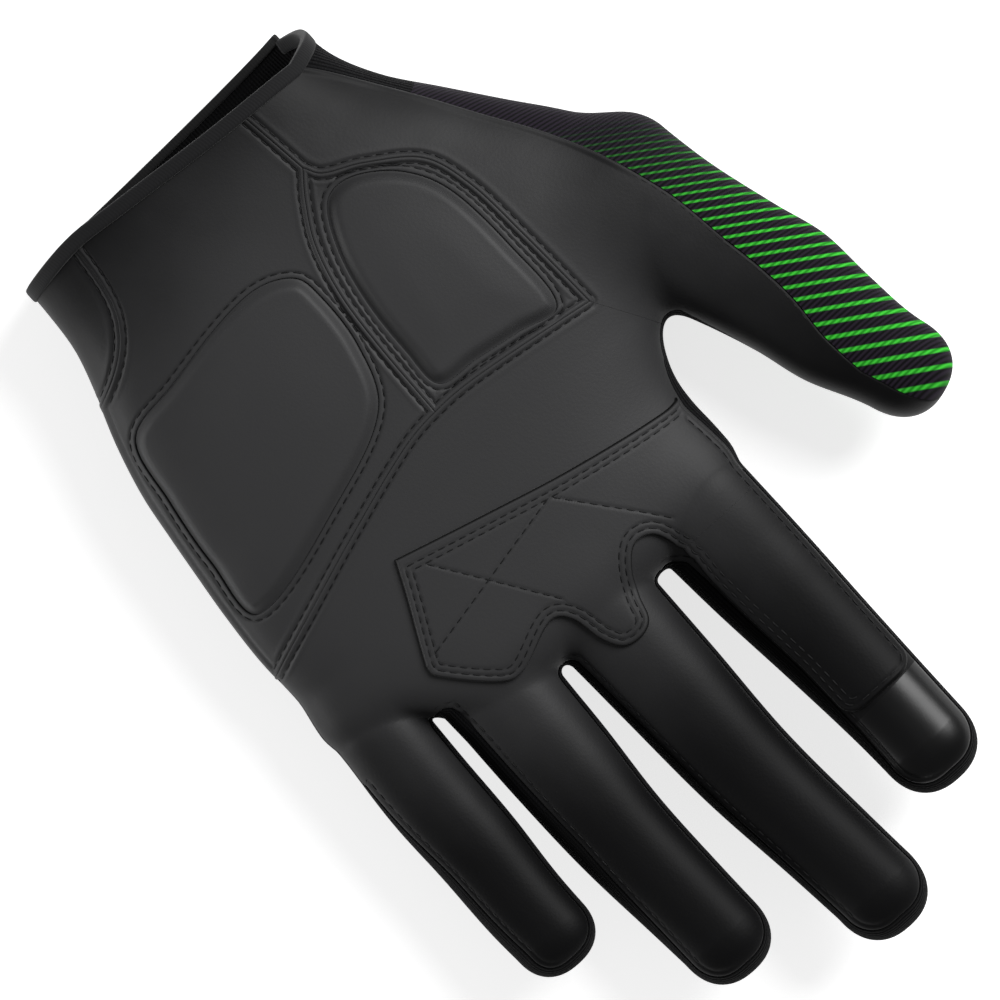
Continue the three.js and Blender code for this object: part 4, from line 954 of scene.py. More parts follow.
gusset_row = int(np.argmax(thumb_side_line[:, 1] < GUSSET_START))
way = outwards(thumb_side)
rows = slice(0, gusset_row + 1)
piece = shell("thumb_side_twill", thumb_side[rows], way[rows], TWILL)
place(piece, striped_knit, "striped_knit", "hand", "thumb_side_panel")
piece = shell("wrist_gusset_knit", thumb_side[gusset_row:], way[gusset_row:], KNIT)
place(piece, ribbed_knit, "ribbed_knit", "hand", "wrist_gusset")


# Main palm panel
# Synthetic leather from the finger roots down to the double seam across the palm.

# The seams of the palm, in plan: across it, round the thumb's base, down the column between the
# two pads, to the cuff, and beside the wrist.
CROSS_NODE = (11.7, -31.8)
CROSS = smooth_line([(-27.5, -27.5), (-18.3, -28.9), (1.7, -31.6), CROSS_NODE, (21.7, -30.4), (41.7, -24.2),
                     (60, -17.8), (75, -12.6)])
WRIST_NODE = (-1.7, -87.5)
THENAR = smooth_line([(-27.5, -27.5), (-26.5, -47), (-25.3, -62), (-21.7, -72.5), (-11.7, -80), (-4, -84),
                      WRIST_NODE])
COLUMN = smooth_line([CROSS_NODE, (11.2, -50), (10, -63), (7, -74), (2.5, -82), WRIST_NODE])
CUFF_FRONT = smooth_line([THUMB_SIDE[-1], (0.8, -105.7), (11.7, -106.3), (31.7, -108), (43.8, -109),
                          (57.9, CUFF_SIDE)])
WRIST_END, WRIST_SIDE_END = [CUFF_FRONT[int(np.argmin(np.abs(CUFF_FRONT[:, 0] - x)))] for x in (0.8, 43.8)]
WRIST = smooth_line([WRIST_NODE, (-0.5, -97), WRIST_END])
WRIST_SIDE_TOP = -78
WRIST_SIDE = smooth_line([WRIST_SIDE_END, (45.8, -95), (49.5, -87.5), (56, -82.2), (66.6, WRIST_SIDE_TOP)])
CROSS_END = -13.3  # where the seam across the palm meets the little-finger side


def join(*lines):
    """Lines end to end, without doubled places."""
    line = np.vstack(lines)
    keep = np.concatenate([[True], np.linalg.norm(np.diff(line, axis=0), axis=1) > 1e-6])
    return line[keep]


def own_shares(line):
    """Where a line's own points lie, as shares of its length."""
    return np.concatenate([[0], np.cumsum(np.linalg.norm(np.diff(line, axis=0), axis=1))]) / length_of(line)


def patch(bottom, top, left, right, across, along):
    """A four-sided patch in plan at given shares: each inner place is the sum of what its two
    pairs of sides give, less what the corners give (a Coons patch)."""
    b, t = resample(bottom, across), resample(top, across)
    l, r = resample(left, along), resample(right, along)
    u, v = np.asarray(across)[None, :, None], np.asarray(along)[:, None, None]
    corners = ((1 - u) * (1 - v) * bottom[0] + u * (1 - v) * bottom[-1]
               + (1 - u) * v * top[0] + u * v * top[-1])
    return (1 - v) * b + v * t + (1 - u) * l[:, None] + u * r[:, None] - corners


def hand_leather(name, plan, relief, node, wrapped=False):
    """A leather panel of the hand, from its places in plan and its relief."""
    surface = on_front(plan)
    way = outwards(surface)
    surface, normals = raised(surface, way, relief, wrapped)
    piece = shell(name, surface, way, LEATHER, normals, wrapped)
    place(piece, palm_leather, "palm_leather", "hand", node)


node = int(np.argmin(np.linalg.norm(CROSS - np.array(CROSS_NODE), axis=1)))
side_line, web_line = side[:, 0, :2], web[:, 0, :2]
side_row = int(np.argmin(np.abs(side_line[:, 1] - CROSS_END)))
cross_left = np.vstack([CROSS[:node], [CROSS_NODE]])
cross_right = CROSS[node + 1:]
cross_right = np.vstack([[CROSS_NODE], cross_right[cross_right[:, 0] < side_line[side_row, 0] - 0.6],
                         [side_line[side_row]]])
cross = join(cross_left, cross_right)
web_row = int(np.argmin(np.linalg.norm(web_line - np.array([-36, -14]), axis=1)))
top = join(*[strips[name][0] for name in FINGERS])
# It shares its points with the finger strips, and with the thumb base along a line without a seam.
bridge = resample(np.vstack([cross[:1], web_line[web_row]]), np.linspace(0, 1, 40))
left = join(bridge, web_line[: web_row + 1][::-1])
top = np.vstack([left[-1:], top[1:]])
right = np.vstack([side_line[: side_row + 1][::-1][:-1], top[-1:]])
near = EDGE_STEPS / length_of(left)
along = own_shares(left)
along = np.concatenate([[0], near, along[along > near[-1] * 1.15]])
left_line = np.column_stack([np.interp(along, own_shares(left), left[:, c]) for c in (0, 1)])
plan = patch(cross, top, left_line, right, own_shares(top), along)
hand_leather("palm_main_leather", plan, sewn_edge(distance_to(cross, plan)), "palm_main_panel")


# Thumb base panel
# Leather over the ball of the thumb, from the palm's seams round to the striped side.

ring_angle = np.linspace(math.radians(seam_angle[0]), math.radians(web_high), 24)
ring = cast(np.broadcast_to(thumb_end, (24, 3)),
            inner_way * np.cos(ring_angle)[:, None] + np.array([0, 0, 1.0]) * np.sin(ring_angle)[:, None])
# Its rows run from the striped side across to the seams, and further up to the web, so that none
# of them has to pass round the hollow of the web.
sewn = join(WRIST[::-1], THENAR[::-1])
left = np.vstack([thumb_side_line[::-1][:-1], ring[:1, :2]])
right = join(sewn, bridge[1:], web_line[web_row:][1:-1], ring[-1:, :2])
bottom = CUFF_FRONT[: int(np.argmin(np.abs(CUFF_FRONT[:, 0] - WRIST[-1][0]))) + 1].copy()
bottom[0], bottom[-1] = left[0], right[0]
plan = patch(bottom, ring[:, :2], left, right, graded(24, 0.5), own_shares(right))
beside_twill = distance_to(left, plan)
lip = 0.35 * (1 - ease(0.5, 1.6, beside_twill)) * (1 - ease(-50, -38, plan[..., 1]))
relief = sewn_edge(distance_to(sewn, plan)) + rolled(beside_twill, 0.5, 0.4) + lip
hand_leather("thumb_base_leather", plan, relief, "thumb_base_panel")


# Heel panels
# Leather round each of the two heel pads, cut out where the pads sit: the thumb-side one inside
# the big curved seam, and the heel panel down to the cuff.

HEEL_PAD = smooth_line([(20, -40), (38.3, -31.7), (67, -25), (67.5, -40), (65.5, -55), (62, -69.5),
                        (48.3, -72.5), (31.7, -75.3), (21.7, -75.3), (15, -72), (13.3, -67), (14.2, -53),
                        (20, -40)])
THENAR_PAD = smooth_line([(-22, -31.3), (-12, -32.6), (-2, -34.2), (7.2, -35.6), (7.8, -45), (7, -58),
                          (4.2, -70), (-1, -79), (-8, -79.5), (-16.5, -73.5), (-21.5, -64), (-23, -47),
                          (-22, -31.3)])
HEEL_PAD_MIDDLE, THENAR_PAD_MIDDLE = (42, -50), (-8, -52)
PAD_ROW = 1.2  # from a pad's edge to the row of stitches round it
RAY_STEPS = 22  # a ray's even steps


def ring_plan(outer, inner, middle, count):
    """Places between an outer and an inner closed line. Rays from the middle match the two, and
    each ray has fine steps near both seams and even ones between."""
    def by_angle(line):
        d = line - np.array(middle)
        a = np.unwrap(np.arctan2(d[:, 1], d[:, 0]))
        return (line[::-1], a[::-1]) if a[-1] < a[0] else (line, a)

    outer, a = by_angle(join(outer, outer[:1]))
    inner, b = by_angle(join(inner, inner[:1]))
    at = np.interp(np.linspace(0, 1, count + 1)[:-1], np.linspace(0, 1, len(a)), a)

    def at_angles(line, own):
        once_round = np.mod(at - own[0], 2 * math.pi) + own[0]
        return np.column_stack([np.interp(once_round, own, line[:, c]) for c in (0, 1)])

    o, i = at_angles(outer, a), at_angles(inner, b)
    length = np.linalg.norm(i - o, axis=1)
    near = EDGE_STEPS[:, None] * np.minimum(1, length / 2 / (EDGE_STEPS[-1] + 0.3))
    between = np.linspace(0, 1, RAY_STEPS + 2)[1:-1, None]
    run = np.vstack([near, near[-1] + (length - 2 * near[-1]) * between, length - near[::-1]])
    return o + (i - o) * (run / length)[..., None]


def heel_panel(name, outer, pad, middle, count, node):
    """A leather panel cut out round its pad, with count places round it."""
    plan = ring_plan(outer, pad, middle, count)
    beside_pad = distance_to(pad, plan)
    seam = sewn_edge(distance_to(join(outer, outer[:1]), plan))
    relief = seam + groove(beside_pad - PAD_ROW) + rolled(beside_pad)
    hand_leather(name, plan, relief, node, True)


outer = join(cross_left, COLUMN[1:], THENAR[::-1][1:-1])
heel_panel("thenar_leather", outer, THENAR_PAD, THENAR_PAD_MIDDLE, 620, "thenar_panel")
low_side = side_line[side_row:]
stop = int(np.argmin(np.abs(low_side[:, 1] - WRIST_SIDE_TOP)))
wrist_side = np.vstack([WRIST_SIDE[WRIST_SIDE[:, 0] < low_side[stop][0] - 0.6], low_side[stop: stop + 1]])
cuff_part = CUFF_FRONT[(CUFF_FRONT[:, 0] > WRIST[-1][0]) & (CUFF_FRONT[:, 0] < WRIST_SIDE[0][0])]
outer = join(cross_right, low_side[1: stop + 1], wrist_side[::-1][1:], cuff_part[::-1], WRIST[::-1],
             COLUMN[::-1][1:-1])
heel_panel("palm_heel_leather", outer, HEEL_PAD, HEEL_PAD_MIDDLE, 1000, "palm_heel_panel")


# Heel pads
# Leather moulded over 2 mm foam, sewn down all round. The foam lifts it within some 3 mm of the
# edge, and a little more towards the middle.

PAD_RISE, PAD_SLOPE = 1.6, 2.6  # how high the foam lifts it, and over what distance
PAD_SWELL, PAD_SUNK = 0.5, 0.35  # how much higher its middle is, and how far its edge is pulled down


def pad_cover(name, outline, middle, *nodes):
    shares = np.concatenate([np.geomspace(0.002, 0.2, 18), np.linspace(0.22, 0.97, 26)])[:, None, None]
    plan = outline[None, :-1] * (1 - shares) + np.array(middle) * shares
    surface = on_front(plan)
    way = outwards(surface)
    inside = distance_to(outline, plan)
    # The wide swell goes by the share of the way in, because distances meet in creases.
    height = PAD_RISE * ease(0, PAD_SLOPE, inside) + PAD_SWELL * ease(0, 0.7, shares[..., 0]) - PAD_SUNK
    top = on_front(np.array([middle]))
    pole = top[0] + outwards(top)[0] * height[-1].mean()
    surface, normals = raised(surface, way, height, True)
    piece = shell(name, surface, way, LEATHER, normals, wrapped=True, pole=pole)
    place(piece, palm_leather, "palm_leather", "hand", *nodes)


pad_cover("heel_pad_leather", HEEL_PAD, HEEL_PAD_MIDDLE, "heel_pad_cover", "heel_pad_foam")
pad_cover("thenar_pad_leather", THENAR_PAD, THENAR_PAD_MIDDLE, "thenar_pad_cover", "thenar_pad_foam")


# Wrist side panel
# A small leather panel at the little-finger side of the cuff.

edge_line = low_side[stop:]
bottom = np.vstack([wrist_side[0], edge_line[-1]])
point = np.vstack([wrist_side[-1], wrist_side[-1] + [0.01, 0]])
plan = patch(bottom, point, wrist_side, edge_line[::-1], graded(14, 0.6), graded(34, 0.6, False, True))
hand_leather("wrist_side_leather", plan, sewn_edge(distance_to(wrist_side, plan)), "wrist_side_panel")


# Back of the hand
# One panel of black knit, and striped twill over the back of the thumb's base.

BACK_SPLIT = -50  # where the two come apart at the thumb's side
across = graded(BACK_WIDTH, BACK_STEP)
feet = [strip_grid(*back_seams[name], across, BACK_STEP)[0][0] for name in FINGERS]
thumb_backs, web_backs = thumb_side[:, -1, :2], web[:, -1, :2]
web_low_row = int(np.argmin(web_backs[:, 1]))
split_row = int(np.argmin(np.abs(thumb_side_line[:, 1] - BACK_SPLIT)))
left = join(thumb_backs[split_row:][::-1], web_backs[: web_low_row + 1][::-1])
top = np.vstack([left[-1:], join(*feet)[1:]])
right = np.vstack([side[::-1, -1, :2][:-1], top[-1:]])
back_rim = np.vstack([left[0], right[0]])
across, along = graded(100, BACK_STEP, False, False), graded(140, BACK_STEP, False, False)
plan = patch(back_rim, top, left, right, across, along)
surface = on_back(plan)
place(shell("back_knit", surface, outwards(surface), KNIT), black_knit, "black_knit", "hand", "back_panel")
outer, inner = thumb_backs[: split_row + 1][::-1], web_backs[web_low_row:]
plan = patch(np.vstack([outer[0], inner[0]]), np.vstack([outer[-1], inner[-1]]), outer, inner,
             graded(24, BACK_STEP), graded(50, BACK_STEP, False, False))
surface = on_back(plan)
piece = shell("thumb_base_back_twill", surface, outwards(surface), KNIT)
place(piece, striped_knit, "striped_knit", "hand", "thumb_base_back")


# Cuff binding
# A folded grosgrain tape sewn round the cuff's edge. The palm's length runs up both sides to the
# longer back, which has a narrower one of its own.

TAPE_WIDTH, TAPE_THICKNESS, TAPE_INSIDE = 3.3, 2.3, 1.45
BACK_TAPE_WIDTH, BACK_TAPE_THICKNESS, BACK_TAPE_INSIDE = 2.0, 1.5, -0.6
TAPE_RIB = 0.7
ROUNDNESS = 0.45  # power of the tapes' section


def grosgrain(name, dark, light):
    """Woven polyester tape: matt, with fine ribs across it, painted darker in their hollows as shade."""
    material, tree, shader = new_material(name, light, 0.8, 0.3, 0.1)
    ribs = add(tree, "TexWave", {"Vector": kept_place(tree, "weave")}, bands_direction="Y", Distortion=0.3,
               Scale=WAVE / (TAPE_RIB * MM)).outputs["Fac"]
    # Painted shade: the colour is darker in the hollows between the ribs.
    tree.links.new(two_tones(tree, ribs, dark, light), shader.inputs["Base Color"])
    emboss(tree, shader, ribs, 0.4, 0.06)
    return material


cuff_tape = grosgrain("grosgrain cuff binding", "#0c0c0e", "#141416")
back_tape = grosgrain("black grosgrain binding", "#0b0b0c", "#151516")


def tape(name, path, width, thickness, centre, material, node):
    """A band swept along the cuff's edge, lying in the cuff's own surface. Its section is a
    superellipse, x = cos(t)^r and z = sin(t)^r with the signs kept, for the power r. centre is how
    far inside the edge its middle lies."""
    path = resample(path, np.linspace(0, 1, int(length_of(path) / 0.6)))
    way = outwards(path) * np.array([1, 0, 1])
    along = np.gradient(path, axis=0)
    along /= np.linalg.norm(along, axis=1, keepdims=True)
    way -= (way * along).sum(1)[:, None] * along
    way /= np.linalg.norm(way, axis=1, keepdims=True)
    across = np.cross(way, along)
    across *= np.where(across[:, 1:2] < 0, -1, 1)
    t = np.linspace(0, 2 * math.pi, 32, endpoint=False)
    x = np.sign(np.cos(t)) * np.abs(np.cos(t)) ** ROUNDNESS * width / 2 + centre
    z = np.sign(np.sin(t)) * np.abs(np.sin(t)) ** ROUNDNESS * thickness / 2 - LEATHER / 2
    grid = path[:, None] + across[:, None] * x[None, :, None] + way[:, None] * z[None, :, None]
    rows, cols = grid.shape[:2]
    index = np.arange(rows * cols).reshape(rows, cols)
    index = np.hstack([index, index[:, :1]])
    quads = np.stack([index[:-1, :-1], index[:-1, 1:], index[1:, 1:], index[1:, :-1]], -1).reshape(-1, 4)
    ends = np.vstack([grid[0].mean(0), grid[-1].mean(0)])
    caps = np.vstack([np.stack([index[0, 1:], index[0, :-1], np.full(cols, rows * cols)], -1),
                      np.stack([index[-1, :-1], index[-1, 1:], np.full(cols, rows * cols + 1)], -1)])
    if (np.cross(across, way) * along).sum() > 0:
        quads, caps = quads[:, ::-1], caps[:, ::-1]
    points = np.vstack([grid.reshape(-1, 3), ends])
    weave = np.dstack([run_along(grid, 1), run_along(grid, 0), np.zeros((rows, cols))]).reshape(-1, 3)
    piece = mesh_object(name, points, quads[:, ::-1], caps[:, ::-1], rest=points,
                        weave=np.vstack([weave, weave[-2:]]))
    place(piece, material, "cuff_tape", "hand", node)


front_rim = on_front(CUFF_FRONT)
palm_path = np.vstack([thumb_side[-1][::-1], front_rim[1:-1], side[-1]])
# The back's binding turns in under the palm's at the little finger.
share = np.linspace(0, 1, 80)
turned_in = 1.8 * ease(0.93, 1, share)
back_path = on_back(resample(back_rim, share) + np.outer(turned_in, [0, 1])) + np.array([0, 0, 0.3])
tape("cuff_palm_binding", palm_path, TAPE_WIDTH, TAPE_THICKNESS, TAPE_INSIDE, cuff_tape, "cuff_tape_palm")
tape("cuff_back_binding", back_path, BACK_TAPE_WIDTH, BACK_TAPE_THICKNESS, BACK_TAPE_INSIDE, back_tape,
     "cuff_tape_back")


# Finger-root overlay
# A second layer of leather over the palm below the fingers, which runs up the index finger to
# its cap. Two rows of stitches follow its lower and its inner edge, one row its outer edge and its
# end, and three single rows cross it. Painted shade darkens its cut edge nearly to black.

OVERLAY, OVERLAY_LIFT = 0.8, 1.15  # its thickness, and its top over the palm's leather
OVERLAY_STEP = 0.4  # for the mesh
OVERLAY_START = 24.0  # where its length on the index finger begins
OVERLAY_END = 73.8
OVERLAY_INSET = 0.8  # from the index finger's own seams
END_CORNER = 3.8
OVERLAY_BOTTOM = smooth_line([(-29.0, -0.7), (-23.3, -0.2), (-1.7, -4.2), (18, -9.2), (38.3, -14.7)])
OVERLAY_RIGHT = smooth_line([(38.3, -14.7), (41.8, -7.2), (45.6, 0.3), (48.5, 6.2)])
OVERLAY_TOP = smooth_line([(48.5, 6.2), (48.2, 9.2), (39.2, 18.8), (34.2, 20.3), (23, 16.5), (19.4, 19.0),
                           (17.5, 26.7), (15, 30.8), (10.8, 31.7), (7.5, 30), (5.8, 25), (3.3, 20),
                           (-0.8, 16.3), (-5, 17.5), (-7.8, OVERLAY_START)])
# Single rows, from end to end.
CROSSING_ROWS = [((5.9, -3.0), (45.4, 5.4)), ((34.2, -9.9), (17.8, 14.8)), ((5.7, -2.8), (-10.5, 17.5))]


def beside(line, away):
    """The line that far to the left of a line in plan, without the places where it would cross
    itself in the line's inner corners. away is one distance, or one for each point."""
    away = np.broadcast_to(np.asarray(away, float), len(line))
    closed = np.allclose(line[0], line[-1])
    along = np.gradient(np.vstack([line[-2:-1], line, line[1:2]]) if closed else line, axis=0)
    along = along[1:-1] if closed else along
    along /= np.linalg.norm(along, axis=1, keepdims=True)
    moved = line + np.column_stack([-along[:, 1], along[:, 0]]) * away[:, None]
    return moved[distance_to(line, moved) > np.abs(away) - 0.05]


def index_seam(y):
    """The x of the index finger's two seams at places along it; the outer one goes on down the
    thumb web."""
    line = seams["index"][0]
    top = int(np.argmax(line[:, 1]))
    low = web_line[: int(np.argmin(web_line[:, 1]))][::-1]
    outer = np.vstack([low[low[:, 1] < line[0, 1] - 0.1], line[: top + 1]])
    outer = outer[np.argsort(outer[:, 1], kind="stable")]
    inner = line[top:][::-1]
    inner = inner[inner[:, 1] > 26]
    return np.interp(y, outer[:, 1], outer[:, 0]), np.interp(y, inner[:, 1], inner[:, 0])


start_x = OVERLAY_TOP[-1, 0]
rise_y = np.concatenate([np.arange(OVERLAY_START, 70, 0.6), np.linspace(70, OVERLAY_END, 12)])
outer_x, inner_x = index_seam(rise_y)
outer_x = outer_x + OVERLAY_INSET
inner_x = inner_x - OVERLAY_INSET
inner_x = inner_x + (start_x - inner_x[0]) * (1 - ease(OVERLAY_START, OVERLAY_START + 10, rise_y))
in_corner = np.clip((rise_y - OVERLAY_END + END_CORNER) / END_CORNER, 0, 0.999)
corner = END_CORNER * (1 - np.sqrt(1 - in_corner**2))
outer_edge = np.column_stack([outer_x + corner, rise_y])
inner_edge = np.column_stack([inner_x - corner, rise_y])
low_y = np.arange(OVERLAY_BOTTOM[0, 1], OVERLAY_START + 0.01, 0.6)
low_y = np.append(low_y, OVERLAY_START)
low_outer = np.column_stack([index_seam(low_y)[0] + OVERLAY_INSET, low_y])
bottom = np.vstack([low_outer[:1], OVERLAY_BOTTOM[OVERLAY_BOTTOM[:, 0] > low_outer[0, 0] + 0.3]])
free_edge = join(low_outer[::-1], bottom, OVERLAY_RIGHT, OVERLAY_TOP, inner_edge, outer_edge[::-1])
round_edge = join(OVERLAY_RIGHT, OVERLAY_TOP, inner_edge)
overlay_rows = []
for away, gap in ((1.5, 0), (2.8, 1.2)):
    # The band beside the long edge narrows towards the thumb.
    from_bottom = np.interp(bottom[:, 0], [-29, 38], [1.5, 2.4]) + gap
    row = beside(round_edge, away)
    row = row[(distance_to(bottom, row) > from_bottom[-1]) & (row[:, 1] < OVERLAY_END - 1.5)]
    low_row = beside(bottom, from_bottom)
    low_row = low_row[(distance_to(round_edge, low_row) > away) & (low_row[:, 0] > low_outer[0, 0] + 1.5)]
    overlay_rows += [row, low_row]
outer_row = beside(join(low_outer, outer_edge)[::-1], 1.4)
outer_row = outer_row[(outer_row[:, 1] < OVERLAY_END - 1.4) & (distance_to(bottom, outer_row) > 4.2)]
overlay_rows.append(outer_row)
overlay_rows.append(np.array([(-23.8, OVERLAY_END - 1.5), (-14.2, OVERLAY_END - 1.5)]))
overlay_rows += [resample(np.array(row), np.linspace(0, 1, 60)) for row in CROSSING_ROWS]


def overlay_grid(plan):
    """The overlay at places in plan, lifted, with its rolled edge and a groove along each row of
    stitches: its surface, outward directions and normals, and how far painted shade blackens its edge."""
    rows = np.min([distance_to(row, plan) for row in overlay_rows], axis=0)
    edge = distance_to(free_edge, plan)
    surface = on_front(plan)
    way = outwards(surface)
    relief = OVERLAY_LIFT + rolled(edge, 0.75, 0.95) + groove(rows, 0.3, 0.16)
    surface, normals = raised(surface, way, relief)
    # The last value is painted shade: full within 0.2 mm of the cut edge, gone by 0.6 mm.
    return surface, way, normals, 1 - ease(0.2, 0.6, edge)


top = join(np.array([low_outer[-1], (start_x, OVERLAY_START)]), OVERLAY_TOP[::-1])
plan = patch(bottom, top, low_outer, OVERLAY_RIGHT, graded(100, OVERLAY_STEP), graded(30, OVERLAY_STEP))
surface, way, normals, painted_edge_shade = overlay_grid(plan)
piece = shell("finger_root_overlay_leather", surface, way, OVERLAY, normals, edge_shade=painted_edge_shade)
place(piece, palm_leather, "palm_leather", "hand", "finger_root_overlay")
u = graded(19, OVERLAY_STEP)[None, :, None]
surface, way, normals, painted_edge_shade = overlay_grid(outer_edge[:, None] * (1 - u) + inner_edge[:, None] * u)
cut_row = int(np.argmax(rise_y > JOINTS["index"][2]))
for key, rows, bend in (("lower", slice(0, cut_row + 1), "_root"), ("upper", slice(cut_row, None), "_tip")):
    piece = shell(f"index_overlay_{key}_leather", surface[rows], way[rows], OVERLAY, normals[rows],
                  edge_shade=painted_edge_shade[rows])
    place(piece, palm_leather, "palm_leather", "index" + bend, f"index_overlay_{key}")


# Stitches
# The palm's seams, the pads and the overlay are topstitched with dark bonded thread in running
# stitches. Each finger has a row on its little-finger side, and the thumb one beside the twill.

THREAD, STITCH, STITCH_GAP = 0.28, 1.9, 0.5
IN_GROOVE = -0.1  # height of a stitch's middle over the hand surface
BY_TWILL = -0.05  # the same for the rows beside the twill
THUMB_ROW = 0.75  # from the edge of the leather beside the twill to its row


def bonded_thread(name):
    """Bonded polyester thread: a hard, slightly shiny cord, roughened by its plies."""
    material, tree, shader = new_material(name, "#1a1a1b", 0.6, 0.25)
    plies = add(tree, "TexNoise", {"Vector": kept_place(tree, "rest")}, Scale=1 / (0.5 * MM))
    emboss(tree, shader, plies.outputs["Fac"], 0.5, 0.05)
    return material


thread = bonded_thread("dark bonded thread")


def stitches(name, rows, height, bodies):
    """Running stitches along rows in plan. Each is a rod that follows its row at a height over
    the leather, h - 0.16 s^4, with the radius r sqrt(1 - (0.94 s)^4) for s from -1 to 1."""
    s = np.linspace(-1, 1, 7)
    plan = []
    for line in rows:
        length = length_of(line)
        count = max(int(length / (STITCH + STITCH_GAP)), 1)
        share = ((np.arange(count) + 0.5) / count)[:, None] + s * STITCH / 2 / length
        plan.append(resample(line, share.ravel()).reshape(count, 7, 2))
    base = on_front(np.concatenate(plan))
    way = outwards(base)
    along = np.gradient(base, axis=1)
    along /= np.linalg.norm(along, axis=-1, keepdims=True)
    aside = np.cross(way, along)
    t = np.linspace(0, 2 * math.pi, 6, endpoint=False)
    radius = THREAD / 2 * np.sqrt(1 - (0.94 * s) ** 4)
    core = base + way * (height - 0.16 * s**4)[None, :, None]
    rods = core[:, :, None] + radius[None, :, None, None] * (
        way[:, :, None] * np.sin(t)[:, None] + aside[:, :, None] * np.cos(t)[:, None])
    points = np.concatenate([rods.reshape(len(rods), 42, 3), core[:, :1], core[:, -1:]], axis=1)
    j = np.arange(6)
    ring = np.stack([j, (j + 1) % 6, (j + 1) % 6 + 6, j + 6], -1)
    quads = np.concatenate([ring + 6 * k for k in range(6)])
    caps = np.concatenate([np.stack([np.full(6, 42), (j + 1) % 6, j], -1),
                           np.stack([np.full(6, 43), j + 36, (j + 1) % 6 + 36], -1)])
    first = np.arange(len(rods))[:, None, None] * 44
    quads, caps = (quads + first).reshape(-1, 4), (caps + first).reshape(-1, 3)
    flat = points.reshape(-1, 3)
    place(mesh_object(name, flat, quads, caps, rest=flat), thread, "palm_leather", bodies)


def both_sides(line):
    return [beside(line, SEAM_ROW), beside(line, -SEAM_ROW)]


for name, seam in (("palm_cross", cross), ("thenar_seam", THENAR), ("column_seam", COLUMN),
                   ("wrist_seam", WRIST[:-6]), ("wrist_side", wrist_side[8:-4])):
    stitches(name + "_stitches", both_sides(seam), IN_GROOVE, "hand")
thumb_row = beside(thumb_side_line, THUMB_ROW)
stitches("thumb_side_stitches", [thumb_row[thumb_row[:, 1] > -42]], BY_TWILL, "hand")
for key, rows in (("root", slice(0, 36)), ("tip", slice(35, 46))):
    row = beside(seam_top[rows, :2], -THUMB_ROW)
    stitches("thumb_seam_stitches_" + key, [row], BY_TWILL, "thumb_" + key)
for name, outline in (("heel_pad", HEEL_PAD), ("thenar_pad", THENAR_PAD)):
    area = np.sum(outline[:-1, 0] * outline[1:, 1] - outline[1:, 0] * outline[:-1, 1])
    row = beside(outline, -PAD_ROW * np.sign(area))
    stitches(name + "_stitches", [np.vstack([row, row[:1]])], IN_GROOVE, "hand")
for key, low, high, bodies in (("overlay", -50, OVERLAY_START, "hand"),
                               ("index_overlay_lower", OVERLAY_START, JOINTS["index"][2], "index_root"),
                               ("index_overlay_upper", JOINTS["index"][2], 90, "index_tip")):
    parts = []
    for row in overlay_rows:
        on_index = (row[:, 0] < -6) & (row[:, 1] > OVERLAY_START)
        inside = on_index & (row[:, 1] > low) & (row[:, 1] <= high) if bodies != "hand" else ~on_index
        runs = np.split(np.arange(len(row)), np.flatnonzero(np.diff(inside.astype(int))) + 1)
        parts += [row[run] for run in runs if inside[run[0]] and length_of(row[run]) > 2]
    stitches(key + "_stitches", parts, OVERLAY_LIFT - 0.08, bodies)
for name in FINGERS:
    line = seams[name][0]
    top = line[int(np.argmax(line[:, 1]))]
    row = beside(line, -SEAM_ROW)
    row = row[(row[:, 0] > top[0]) & (row[:, 1] < top[1] - 6)]
    low = row[:, 1] <= JOINTS[name][2]
    for key, part, bend in (("lower", row[low], "_root"), ("upper", row[~low], "_tip")):
        if length_of(part) > 4:
            stitches(f"{name}_seam_stitches_{key}", [part], IN_GROOVE, name + bend)


# Camera: straight above, with the glove turned as in the photograph

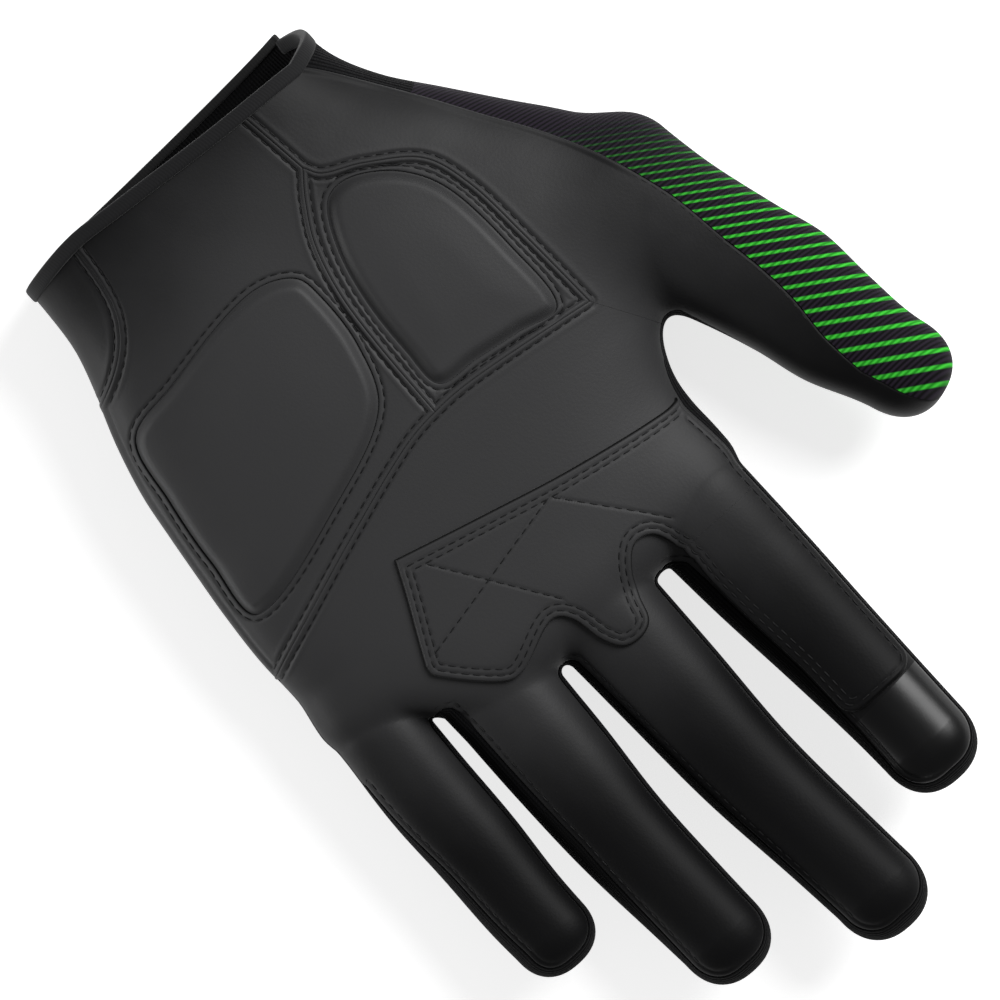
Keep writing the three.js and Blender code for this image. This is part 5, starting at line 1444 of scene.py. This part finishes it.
# The view's width at a height, that height, and the place in plan under the camera, in metres.
VIEW_WIDTH, VIEW_HEIGHT, VIEW_MIDDLE = 0.210, 0.018, (0.01388, -0.00923)
camera = bpy.data.objects.new("camera", bpy.data.cameras.new("camera"))
scene.collection.objects.link(camera)
camera.data.lens = 200
camera.data.sensor_width = 36
distance = VIEW_WIDTH * camera.data.lens / camera.data.sensor_width
right = np.array([-0.7431, 0.6691, 0.0])
upward = np.array([-0.6691, -0.7431, 0.0])
turned = Matrix(np.column_stack([right, upward, np.cross(right, upward)]).tolist()).to_4x4()
camera.matrix_world = Matrix.Translation((*VIEW_MIDDLE, VIEW_HEIGHT + distance)) @ turned
camera.data.clip_end = 10
scene.camera = camera


# Floor: a plain white table top. The camera also sees it shine a little, so that it is white,
# and it keeps the glove's shadow.

GLOW = 0.75
TABLE_REACH, TABLE_TOP = 3, -0.0005


def white_floor():
    material, tree, shader = new_material("white table top", "#e6e6e6", 0.9, 0.0)
    path = add(tree, "LightPath").outputs
    seen = calc(tree, "MAXIMUM", path["Is Camera Ray"], path["Is Glossy Ray"])
    shader.inputs["Emission Color"].default_value = (1, 1, 1, 1)
    tree.links.new(calc(tree, "MULTIPLY", seen, GLOW), shader.inputs["Emission Strength"])
    return material


mesh = bpy.data.meshes.new("table")
corners = [(x * TABLE_REACH, y * TABLE_REACH, TABLE_TOP) for x, y in ((-1, -1), (1, -1), (1, 1), (-1, 1))]
mesh.from_pydata(corners, [], [(0, 1, 2, 3)])
table = bpy.data.objects.new("table", mesh)
scene.collection.objects.link(table)
mesh.materials.append(white_floor())


# Light: a round soft lamp on the thumb's side, and a long low one along the little finger's edge

def lamp(name, place, size, power):
    light = bpy.data.lights.new(name, "AREA")
    light.shape = "ELLIPSE"
    light.size, light.size_y = size
    light.energy = power
    obj = bpy.data.objects.new(name, light)
    scene.collection.objects.link(obj)
    turned = (-Vector(place)).to_track_quat("-Z", "Y").to_matrix().to_4x4()
    obj.matrix_world = Matrix.Translation(place) @ turned


lamp("thumb_side_key", (-0.85, -0.1, 0.85), (0.75, 0.75), 13)
lamp("little_finger_rim", (0.9, -0.45, 0.12), (0.9, 0.2), 4.5)
world = bpy.data.worlds.new("studio")
scene.world = world
world.use_nodes = True
world.node_tree.nodes["Background"].inputs["Color"].default_value = (1, 1, 1, 1)
world.node_tree.nodes["Background"].inputs["Strength"].default_value = 0.15
scene.view_settings.view_transform = "Standard"
